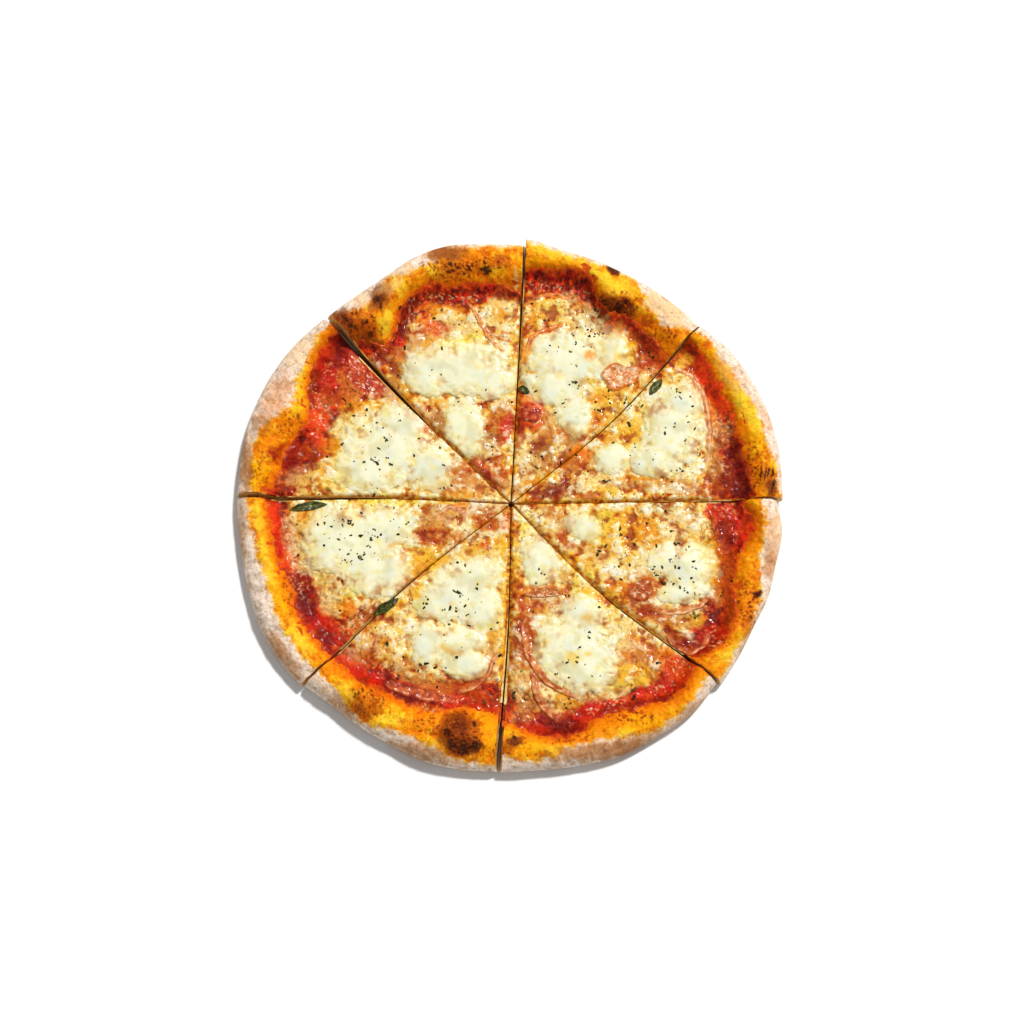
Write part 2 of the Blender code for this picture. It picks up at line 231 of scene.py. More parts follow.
def where(x, y):
    """The slice, the share across it and the outline's radius, for each point."""
    radius = np.maximum(np.hypot(x, y), 0.5)
    angle = np.arctan2(y, x)
    k_of = np.zeros(radius.shape, int)
    share = np.full(radius.shape, 0.5)
    for k in range(8):
        a = np.radians(CUTS[k][0] + (CUTS[k][1] - CUTS[k][0]) * ease((radius - 40.0) / 105.0))
        n = (k + 1) % 8
        b = np.radians(CUTS[n][0] + (CUTS[n][1] - CUTS[n][0]) * ease((radius - 40.0) / 105.0))
        span = np.mod(a - b, 2 * math.pi)
        f = np.mod(a - angle, 2 * math.pi) / span
        inside = f <= 1.0
        k_of = np.where(inside, k, k_of)
        share = np.where(inside, f, share)
    return k_of, share, radius


def by_slice(table, k_of, share):
    out = np.zeros(k_of.shape)
    for k in range(8):
        pick = k_of == k
        out[pick] = through(table[k], share[pick])
    return out


# ------------------------------------------------------------------ toppings in plan

# Mozzarella pools as unions of ovals: u, v, half lengths, turn, and the pool's crown in mm.
POOLS = {
    "mozzarella_1a": (((572, 362, 43, 27, 0), (556, 347, 26, 17, -14), (612, 350, 16, 20, 10), (560, 388, 34, 20, 0)), 1.7),
    "mozzarella_1b": (((574, 412, 19, 26, -8),), 1.5),
    "mozzarella_2a": (((672, 432, 31, 42, 0), (682, 404, 22, 22, 0), (652, 460, 24, 18, 0)), 1.9),
    "mozzarella_2b": (((611, 459, 19, 16, 0),), 1.4),
    "mozzarella_3a": (((690, 568, 30, 27, 0), (682, 592, 26, 12, -8), (664, 560, 16, 18, 0)), 1.6),
    "mozzarella_3b": (((583, 526, 20, 14, 20),), 1.2),
    "mozzarella_4a": (((576, 650, 45, 40, 20), (590, 672, 28, 20, 0), (584, 612, 24, 18, 30)), 2.1),
    "mozzarella_4b": (((540, 560, 20, 27, -8),), 1.4),
    "mozzarella_5a": (((460, 592, 38, 30, -10), (482, 610, 24, 26, 0), (478, 572, 27, 16, -12), (438, 606, 24, 15, 0)), 1.6),
    "mozzarella_5b": (((454, 642, 36, 17, 0), (466, 664, 27, 17, 6), (426, 644, 16, 26, 4)), 1.7),
    "mozzarella_6a": (((350, 546, 52, 35, 6), (334, 534, 31, 27, 0), (380, 572, 36, 26, -6), (382, 528, 38, 24, 0)), 1.7),
    "mozzarella_7a": (((388, 448, 46, 38, 8), (366, 470, 36, 22, 0), (402, 424, 26, 20, 30)), 1.7),
    "mozzarella_7b": (((428, 468, 28, 24, 20),), 1.5),
    "mozzarella_8a": (((462, 369, 50, 29, 0), (492, 382, 24, 19, 0), (428, 374, 24, 24, 0)), 2.0),
    "mozzarella_8b": (((464, 426, 20, 30, -8),), 1.0),
}


def oval(u, v, cu, cv, ru, rv, turn):
    """Distance in an oval: 1 at its rim."""
    c, s = math.cos(math.radians(turn)), math.sin(math.radians(turn))
    du, dv = u - cu, v - cv
    return np.hypot((du * c + dv * s) / ru, (-du * s + dv * c) / rv)


def pool_edge(name, u, v):
    """0 in a pool's middle, 1 at its uneven rim."""
    ovals, _ = POOLS[name]
    seed = 300 + 7 * sorted(POOLS).index(name)
    wobble = 0.16 * noise(u, v, 15, seed) + 0.11 * noise(u, v, 6.5, seed + 1) + 0.06 * noise(u, v, 3.0, seed + 2)
    total = 0.0
    for cu, cv, ru, rv, turn in ovals:
        total = total + np.exp(-7.0 * np.minimum(oval(u, v, cu, cv, ru, rv, turn), 12.0))
    return -np.log(total) / 7.0 + wobble


SRGB = {
    "wine": (112, 12, 10),
    "sauce_dark": (134, 18, 12),
    "sauce": (190, 36, 26),
    "sauce_bright": (218, 62, 30),
    "tomato": (232, 84, 48),
    "ember": (146, 46, 12),
    "rust": (186, 74, 18),
    "orange": (230, 124, 32),
    "amber": (226, 146, 44),
    "gold": (238, 182, 66),
    "straw": (240, 208, 124),
    "yellow": (242, 226, 116),
    "moss": (220, 214, 132),
    "brown": (166, 92, 44),
    "tan": (214, 158, 108),
    "umber": (104, 38, 18),
    "black": (42, 20, 12),
    "cream": (243, 224, 176),
    "white": (249, 244, 226),
    "mozzarella": (239, 238, 214),
    "ice": (230, 233, 220),
    "grey": (208, 200, 168),
    "pink": (226, 176, 142),
    "ham": (216, 128, 78),
    "flour": (244, 224, 208),
    "beige": (243, 208, 166),
    "crust": (250, 176, 20),
    "crust_light": (255, 212, 78),
    "crust_orange": (238, 138, 18),
    "crust_brown": (186, 90, 24),
}
RGB = {name: np.array(value, float) for name, value in SRGB.items()}

# Paint on the field, broad places first: u, v, half lengths, turn, colour, strength.
STAINS = (
    # north-north-west
    (456, 330, 30, 16, 0, "cream", 0.8), (500, 314, 17, 19, 0, "cream", 0.9), (425, 352, 22, 12, -20, "pink", 0.5),
    (408, 372, 12, 20, 20, "grey", 0.5), (401, 392, 9, 20, -44, "amber", 0.8), (404, 396, 5, 9, -44, "gold", 0.8),
    (392, 366, 7, 20, -44, "brown", 0.8), (500, 312, 8, 8, 0, "amber", 0.7), (432, 328, 16, 9, 10, "sauce_bright", 0.55),
    (440, 308, 24, 5, 0, "amber", 0.8), (432, 343, 10, 5, 30, "amber", 0.6), (440, 404, 10, 6, 10, "amber", 0.6),
    (500, 424, 12, 20, 12, "rust", 0.8), (506, 428, 6, 14, 10, "sauce", 0.9), (497, 388, 7, 8, 0, "white", 0.7),
    (488, 444, 9, 7, 0, "ham", 0.7), (470, 456, 12, 9, 0, "grey", 0.6), (436, 424, 10, 14, -42, "brown", 0.7),
    (490, 466, 14, 12, 35, "pink", 0.6), (502, 476, 7, 20, -14, "rust", 0.6), (484, 470, 6, 14, -44, "sauce", 0.6),
    (496, 486, 5, 14, -35, "white", 0.6), (404, 356, 12, 8, 0, "pink", 0.6), (470, 338, 14, 4, -10, "yellow", 0.8),
    (452, 344, 18, 4, 4, "yellow", 0.6), (395, 354, 9, 8, 0, "rust", 0.6), (513, 360, 3, 40, 3, "gold", 0.6),
    # north-north-east
    (550, 308, 20, 10, 0, "straw", 0.9), (585, 318, 22, 12, 14, "cream", 0.8), (592, 322, 16, 9, 10, "grey", 0.5),
    (527, 340, 6, 26, 6, "orange", 0.6), (532, 318, 6, 14, 0, "amber", 0.8), (631, 348, 10, 12, 10, "gold", 0.8),
    (643, 348, 9, 20, -10, "ember", 0.8), (655, 362, 14, 12, -30, "rust", 0.8), (672, 350, 16, 9, -40, "orange", 0.7),
    (608, 404, 24, 16, -35, "straw", 0.8), (600, 398, 12, 8, -20, "gold", 0.6), (597, 424, 16, 8, -38, "amber", 0.9),
    (624, 386, 18, 6, -20, "amber", 0.7), (620, 332, 10, 8, 10, "cream", 0.7), (610, 362, 12, 5, 0, "gold", 0.6),
    (560, 436, 26, 8, 0, "rust", 0.75), (573, 440, 14, 6, -8, "ember", 0.7), (545, 422, 10, 12, 0, "tan", 0.8),
    (536, 452, 20, 16, 0, "cream", 0.7), (548, 446, 12, 8, 10, "brown", 0.6), (562, 448, 16, 8, -30, "cream", 0.7),
    (540, 466, 14, 8, -30, "tan", 0.7), (524, 478, 7, 18, 0, "pink", 0.6), (532, 486, 10, 5, -40, "amber", 0.7),
    (526, 376, 6, 12, 0, "grey", 0.8), (588, 356.5, 5.5, 4, 0, "orange", 1.0), (590, 381, 6, 3.5, 0, "gold", 0.8),
    (531, 371, 4, 2.5, 0, "amber", 0.9), (530, 412, 14, 18, 0, "sauce_bright", 0.6), (521, 424, 5, 16, 0, "sauce_dark", 0.8),
    (594, 398, 8, 5, 0, "orange", 0.5), (616, 356, 4, 6, 0, "gold", 0.7),
    # east-north-east
    (632, 432, 14, 14, 0, "gold", 0.85), (618, 420, 14, 9, -38, "straw", 0.7), (640, 412, 9, 12, -38, "straw", 0.6),
    (686, 360, 10, 8, 0, "gold", 0.8), (713, 376, 17, 28, -30, "sauce_bright", 0.95), (728, 404, 12, 16, -20, "sauce_bright", 0.95),
    (716, 352, 12, 12, -40, "sauce", 0.6), (720, 432, 12, 16, -10, "pink", 0.65), (712, 412, 6, 14, -10, "orange", 0.6),
    (738, 455, 12, 18, -4, "wine", 0.95), (742, 484, 12, 14, 0, "wine", 0.95), (724, 478, 12, 18, 0, "ember", 0.8),
    (714, 462, 8, 20, 0, "tan", 0.7), (700, 490, 24, 7, 0, "rust", 0.7), (582, 454, 9, 12, -30, "orange", 0.9),
    (572, 466, 14, 8, -30, "rust", 0.8), (566, 474, 10, 6, -30, "cream", 0.6), (560, 490, 24, 9, -12, "ember", 0.85),
    (546, 494, 14, 5, -10, "wine", 0.6), (596, 480, 20, 9, 0, "cream", 0.8), (600, 490, 22, 5, 0, "gold", 0.7),
    (650, 484, 40, 6, 0, "tan", 0.7), (676, 490, 22, 4, 0, "white", 0.6), (640, 479, 30, 3, 0, "amber", 0.7),
    (610, 440, 8, 5, 0, "amber", 0.6), (592, 464, 6, 8, 0, "tan", 0.6), (664, 440, 4, 10, -30, "moss", 0.5),
    # east-south-east
    (622, 528, 34, 18, 0, "gold", 0.75), (650, 530, 18, 18, 0, "amber", 0.8), (600, 520, 14, 10, 0, "yellow", 0.6),
    (682, 520, 26, 16, 0, "cream", 0.85), (684, 524, 18, 12, 0, "pink", 0.55), (660, 506, 20, 5, 0, "grey", 0.6),
    (618, 560, 24, 18, 0, "cream", 0.7), (612, 572, 9, 8, 0, "white", 0.9), (612, 548, 9, 7, 0, "amber", 0.8),
    (630, 556, 9, 6, 0, "gold", 0.7), (596, 550, 14, 8, 40, "tan", 0.7), (556, 518, 22, 8, 30, "tan", 0.8),
    (566, 540, 12, 5, 45, "rust", 0.8), (642, 590, 15, 14, -20, "rust", 0.95), (636, 596, 9, 8, 0, "ember", 0.6),
    (620, 588, 12, 7, 42, "amber", 0.7), (716, 568, 8, 34, -4, "amber", 0.9), (728, 576, 10, 34, -6, "rust", 0.8),
    (708, 560, 7, 22, 0, "yellow", 0.5), (706, 592, 12, 8, 0, "white", 0.7), (720, 600, 10, 6, 0, "pink", 0.7),
    (722, 514, 16, 9, 0, "sauce_bright", 0.95), (744, 530, 12, 22, -10, "sauce", 0.95), (746, 534, 8, 12, 0, "sauce_bright", 0.6),
    (724, 530, 10, 12, 0, "ember", 0.6), (684, 618, 22, 9, 12, "tan", 0.8), (696, 618, 9, 6, 0, "gold", 0.6),
    (733, 612, 13, 20, -12, "rust", 0.9), (716, 640, 16, 16, -25, "sauce", 0.9), (702, 652, 14, 8, -30, "sauce_dark", 0.7),
    (676, 640, 16, 8, 42, "ember", 0.9), (688, 634, 12, 5, 38, "white", 0.7), (700, 536, 6, 6, 0, "amber", 0.6),
    # south-south-east
    (584, 584, 26, 16, 38, "yellow", 0.7), (590, 592, 14, 9, 40, "gold", 0.7), (608, 606, 20, 12, 42, "straw", 0.8),
    (624, 624, 20, 10, 38, "cream", 0.7), (602, 598, 9, 5, 0, "orange", 0.6), (550, 604, 24, 10, 0, "pink", 0.6),
    (532, 608, 14, 8, 0, "rust", 0.7), (526, 630, 10, 26, 0, "rust", 0.85), (520, 650, 8, 30, 0, "ember", 0.7),
    (526, 686, 14, 34, 0, "tan", 0.8), (522, 672, 8, 8, 0, "cream", 0.7), (526, 694, 9, 9, 0, "cream", 0.7),
    (552, 700, 14, 16, -30, "cream", 0.85), (568, 700, 14, 9, 20, "amber", 0.8), (590, 694, 20, 8, 0, "tan", 0.8),
    (612, 690, 24, 10, -6, "cream", 0.85), (620, 684, 12, 5, -10, "yellow", 0.6), (642, 656, 30, 14, 26, "ham", 0.9),
    (650, 660, 16, 10, 26, "tan", 0.7), (634, 674, 20, 12, 0, "gold", 0.8), (652, 634, 26, 8, 36, "cream", 0.7),
    (662, 644, 18, 5, 30, "white", 0.6), (672, 656, 14, 8, 20, "orange", 0.6), (680, 670, 18, 14, -20, "sauce_bright", 0.85),
    (658, 692, 20, 10, -20, "sauce", 0.95), (664, 700, 16, 5, -14, "wine", 0.7), (560, 726, 44, 9, 2, "sauce_dark", 1.0),
    (552, 728, 26, 6, 2, "wine", 0.8), (534, 728, 16, 6, 4, "sauce_bright", 0.6), (594, 714, 18, 12, -24, "sauce", 0.95),
    (626, 704, 26, 6, -14, "sauce_bright", 0.8), (520, 716, 12, 8, 0, "pink", 0.6), (545, 590, 22, 5, 0, "ham", 0.6),
    (566, 578, 12, 7, 42, "tan", 0.7), (528, 540, 10, 16, 0, "cream", 0.6), (524, 524, 6, 12, 0, "yellow", 0.6),
    (516, 560, 4, 30, 0, "gold", 0.7), (588, 618, 6, 6, 0, "amber", 0.8), (572, 658, 8, 5, 0, "gold", 0.8),
    (586, 654, 3, 3, 0, "gold", 0.8),
    # south-south-west
    (388, 640, 30, 16, -10, "cream", 0.8), (372, 646, 16, 12, 0, "pink", 0.6), (388, 642, 9, 8, 0, "amber", 0.7),
    (354, 656, 16, 10, 20, "pink", 0.75), (350, 664, 12, 6, 30, "sauce_bright", 0.6), (360, 674, 24, 7, 14, "sauce", 0.95),
    (370, 660, 12, 6, 20, "rust", 0.6), (400, 664, 16, 9, 20, "tan", 0.7), (420, 680, 22, 6, 10, "tan", 0.8),
    (404, 692, 20, 9, 14, "ember", 0.95), (402, 696, 14, 6, 12, "wine", 0.8), (440, 690, 24, 9, 4, "ham", 0.85),
    (470, 686, 18, 10, -10, "rust", 0.85), (488, 664, 9, 14, 20, "ham", 0.8), (482, 700, 18, 10, 0, "rust", 0.8),
    (484, 712, 22, 7, 12, "sauce", 0.9), (452, 702, 12, 7, 0, "sauce", 0.8), (428, 712, 24, 7, 12, "orange", 0.7),
    (494, 556, 12, 16, 0, "cream", 0.7), (500, 540, 7, 12, 0, "gold", 0.7), (492, 612, 8, 26, 0, "straw", 0.7),
    (503, 620, 4, 80, 2, "gold", 0.9), (492, 636, 8, 10, 0, "amber", 0.6), (492, 654, 8, 8, 0, "tan", 0.6),
    (420, 604, 12, 16, 0, "straw", 0.8), (416, 590, 9, 12, 0, "gold", 0.8), (402, 616, 16, 10, -30, "cream", 0.7),
    (398, 606, 10, 6, -40, "gold", 0.6), (474, 550, 20, 9, -20, "straw", 0.7), (440, 562, 14, 7, -35, "amber", 0.7),
    (430, 574, 12, 7, -30, "straw", 0.7), (470, 648, 16, 3, -4, "amber", 0.7), (444, 648, 8, 4, 20, "amber", 0.6),
    # south-west-west
    (392, 501, 60, 4, 0, "yellow", 0.8), (376, 510, 12, 4, 0, "gold", 0.7), (304, 518, 10, 16, 0, "amber", 0.75),
    (302, 544, 6, 20, 0, "straw", 0.7), (436, 518, 18, 14, 0, "tan", 0.85), (448, 514, 12, 9, 0, "pink", 0.6),
    (430, 536, 18, 9, 6, "rust", 0.9), (426, 534, 9, 5, 0, "ember", 0.8), (424, 560, 22, 12, -20, "gold", 0.85),
    (416, 570, 10, 9, -20, "amber", 0.7), (398, 560, 9, 7, -20, "ham", 0.8), (409, 582, 10, 6, -20, "ham", 0.85),
    (396, 546, 8, 4, 0, "amber", 0.6), (352, 590, 10, 9, -20, "moss", 0.7), (346, 604, 10, 9, 0, "gold", 0.7),
    (326, 600, 14, 14, 20, "cream", 0.8), (352, 610, 12, 8, -10, "orange", 0.75), (370, 614, 14, 10, -30, "ember", 0.85),
    (362, 604, 8, 5, 0, "white", 0.6), (352, 624, 16, 7, -30, "pink", 0.7), (340, 634, 14, 10, -30, "sauce_bright", 0.7),
    (332, 616, 9, 9, 0, "rust", 0.6), (320, 574, 8, 12, 0, "straw", 0.6), (332, 572, 5, 12, 0, "tan", 0.6),
    (276, 528, 8, 34, -6, "sauce", 0.95), (272, 516, 5, 18, -3, "sauce_bright", 0.8), (290, 540, 8, 30, -8, "pink", 0.6),
    (286, 568, 10, 14, -14, "sauce_bright", 0.7), (302, 594, 12, 24, -22, "sauce_dark", 0.95), (320, 630, 13, 26, -32, "sauce", 0.95),
    (306, 606, 7, 14, -20, "wine", 0.8), (324, 640, 8, 14, -32, "sauce_dark", 0.8),
    (478, 508, 22, 9, -6, "pink", 0.7), (470, 530, 22, 9, 10, "cream", 0.7), (488, 522, 16, 9, 0, "rust", 0.8),
    (506, 524, 6, 7, 0, "sauce_bright", 0.95), (484, 546, 18, 6, -20, "amber", 0.7), (494, 534, 12, 5, 0, "white", 0.5),
    (460, 506, 6, 4, 0, "orange", 0.7), (486, 546, 6, 4, 0, "sauce", 0.5),
    # west-north-west
    (336, 470, 9, 20, 0, "straw", 0.7), (352, 404, 16, 9, 20, "amber", 0.85), (372, 404, 14, 5, 10, "gold", 0.7),
    (346, 424, 9, 14, 0, "straw", 0.6), (330, 446, 12, 9, -10, "amber", 0.85), (322, 412, 12, 16, -10, "pink", 0.6),
    (330, 394, 16, 10, 0, "rust", 0.9), (326, 368, 14, 22, -6, "sauce", 0.95), (312, 384, 6, 26, 4, "sauce_dark", 0.9),
    (336, 356, 14, 14, 0, "sauce_dark", 0.9), (340, 346, 12, 9, 40, "wine", 0.7), (316, 424, 10, 26, -6, "sauce_bright", 0.8),
    (318, 432, 8, 14, 0, "rust", 0.5), (364, 372, 18, 24, -34, "sauce_bright", 0.8), (372, 384, 14, 12, -30, "sauce", 0.6),
    (346, 386, 8, 16, -20, "ham", 0.8), (392, 392, 9, 14, -42, "pink", 0.8), (300, 476, 22, 12, -10, "pink", 0.75),
    (290, 456, 16, 14, 0, "sauce_dark", 0.9), (310, 452, 14, 7, 0, "rust", 0.7), (312, 482, 20, 7, 0, "straw", 0.6),
    (326, 470, 6, 5, 0, "orange", 0.85), (418, 418, 12, 14, -40, "pink", 0.8), (424, 426, 7, 8, -40, "sauce_bright", 0.5),
    (452, 462, 6, 22, -40, "white", 0.7), (462, 476, 12, 14, -40, "rust", 0.7), (474, 484, 18, 9, 30, "pink", 0.65),
    (484, 474, 12, 4, 44, "sauce_dark", 0.8), (496, 484, 10, 4, 44, "ember", 0.7), (448, 488, 16, 7, 0, "tan", 0.8),
    (464, 494, 20, 4, 0, "amber", 0.7), (346, 484, 8, 8, 0, "straw", 0.6),
    # local tones
    (340, 430, 10, 9, 0, "cream", 0.95), (700, 530, 10, 9, 0, "cream", 0.8), (620, 640, 14, 9, 36, "cream", 0.75),
    (490, 440, 9, 9, 0, "grey", 0.6), (540, 450, 12, 9, 0, "brown", 0.6), (650, 656, 12, 8, 26, "rust", 0.35),
    (598, 542, 12, 9, 0, "straw", 0.7), (320, 472, 9, 7, 0, "straw", 0.6),
    # brightest sauce
    (714, 374, 12, 20, -30, "tomato", 0.7), (730, 404, 8, 14, -20, "tomato", 0.6), (722, 512, 12, 6, 0, "tomato", 0.5),
    (748, 524, 6, 12, -8, "tomato", 0.7), (680, 670, 14, 10, -20, "tomato", 0.6), (320, 424, 7, 20, -6, "tomato", 0.6),
    (530, 414, 10, 14, 0, "tomato", 0.5), (626, 704, 18, 4, -14, "tomato", 0.25), (272, 514, 5, 16, -3, "tomato", 0.5),
    (432, 328, 12, 7, 10, "tomato", 0.4), (364, 372, 12, 18, -34, "tomato", 0.35), (326, 350, 9, 9, 0, "tomato", 0.7), (712, 362, 9, 9, -30, "tomato", 0.5), (626, 706, 30, 4, -14, "wine", 0.6),
    (306, 600, 5, 16, -20, "wine", 0.5), (324, 636, 6, 14, -32, "wine", 0.5), (715, 645, 8, 8, 0, "sauce_dark", 0.6),
    # the middle
    (498, 506, 12, 8, 10, "cream", 0.7), (508, 514, 7, 12, 0, "rust", 0.7), (506, 498, 6, 12, 14, "cream", 0.8),
    (520, 508, 8, 6, 0, "cream", 0.7), (514, 492, 7, 9, 0, "tan", 0.7), (526, 500, 14, 4, -8, "amber", 0.7),
    # deeper and paler spots
    # The rust and ember spots at u 652, v 614 and u 646, v 611 darken the slice's edge beside the cut under a ham fold:
    # partly brown ham and sauce, partly painted shadow.
    (652, 614, 23, 9, 22, "rust", 0.85), (646, 611, 13, 6, 28, "ember", 0.6), (694, 400, 6, 13, -12, "tan", 0.6),
    (455, 537, 10, 6, 0, "rust", 0.6), (523, 662, 6, 9, 0, "rust", 0.8), (481, 662, 10, 6, 0, "tan", 0.5),
    (376, 361, 9, 6, -30, "wine", 0.7), (591, 584, 11, 6, 0, "cream", 0.8), (679, 536, 9, 7, 0, "cream", 0.8),
    (538, 532, 10, 8, 0, "cream", 0.8), (331, 612, 8, 6, 0, "cream", 0.6), (581, 495, 24, 3.5, 0, "rust", 0.65),
    (362, 626, 8, 7, 0, "rust", 0.75), (447, 488, 12, 4, 0, "rust", 0.5), (424, 489, 12, 4, 0, "amber", 0.6),
    (617, 328, 9, 7, 0, "rust", 0.6), (516, 436, 4, 9, 0, "rust", 0.6), (414, 340, 9, 7, 0, "rust", 0.45),
    (589, 562, 8, 7, 0, "amber", 0.5), (508, 306, 9, 6, 0, "cream", 0.8),
    (684, 522, 24, 11, 0, "cream", 0.65), (645, 562, 15, 10, 30, "cream", 0.55), (682, 668, 15, 11, -20, "rust", 0.55),
    (408, 638, 18, 22, 30, "cream", 0.55), (448, 568, 30, 9, -36, "cream", 0.5), (470, 646, 16, 12, 0, "cream", 0.5),
    (724, 520, 9, 12, 0, "sauce_dark", 0.45), (568, 300, 13, 8, 10, "cream", 0.5), (452, 548, 12, 7, 0, "tan", 0.4),
)

# Places where pale bits lie thickly on red, partly specks of cheese and fat and partly painted glints: u, v, half
# lengths, turn.
BITS = (
    (411, 322, 8, 18, 4), (430, 330, 18, 8, 0), (430, 298, 46, 5, -2), (562, 290, 40, 5, 12), (724, 430, 10, 16, -12),
    (725, 509, 16, 8, 0), (318, 408, 9, 28, -6), (291, 545, 8, 30, -8), (300, 584, 9, 18, -16), (610, 704, 20, 5, -10),
    (592, 708, 9, 9, 0), (678, 668, 14, 10, 0), (660, 690, 16, 7, -20), (714, 638, 10, 14, -20), (384, 669, 14, 6, 20),
    (430, 712, 14, 6, 10), (452, 700, 12, 5, 0), (364, 374, 16, 22, -36), (422, 420, 8, 12, -40), (330, 372, 8, 12, 0),
    (350, 628, 16, 6, -20), (546, 284, 10, 4, 10), (726, 466, 6, 12, 0), (470, 296, 12, 5, 10), (700, 590, 14, 7, 20),
    (480, 512, 24, 8, 0), (470, 536, 20, 6, 0), (388, 392, 10, 14, -42), (700, 486, 20, 6, 0), (560, 706, 10, 10, 0),
)


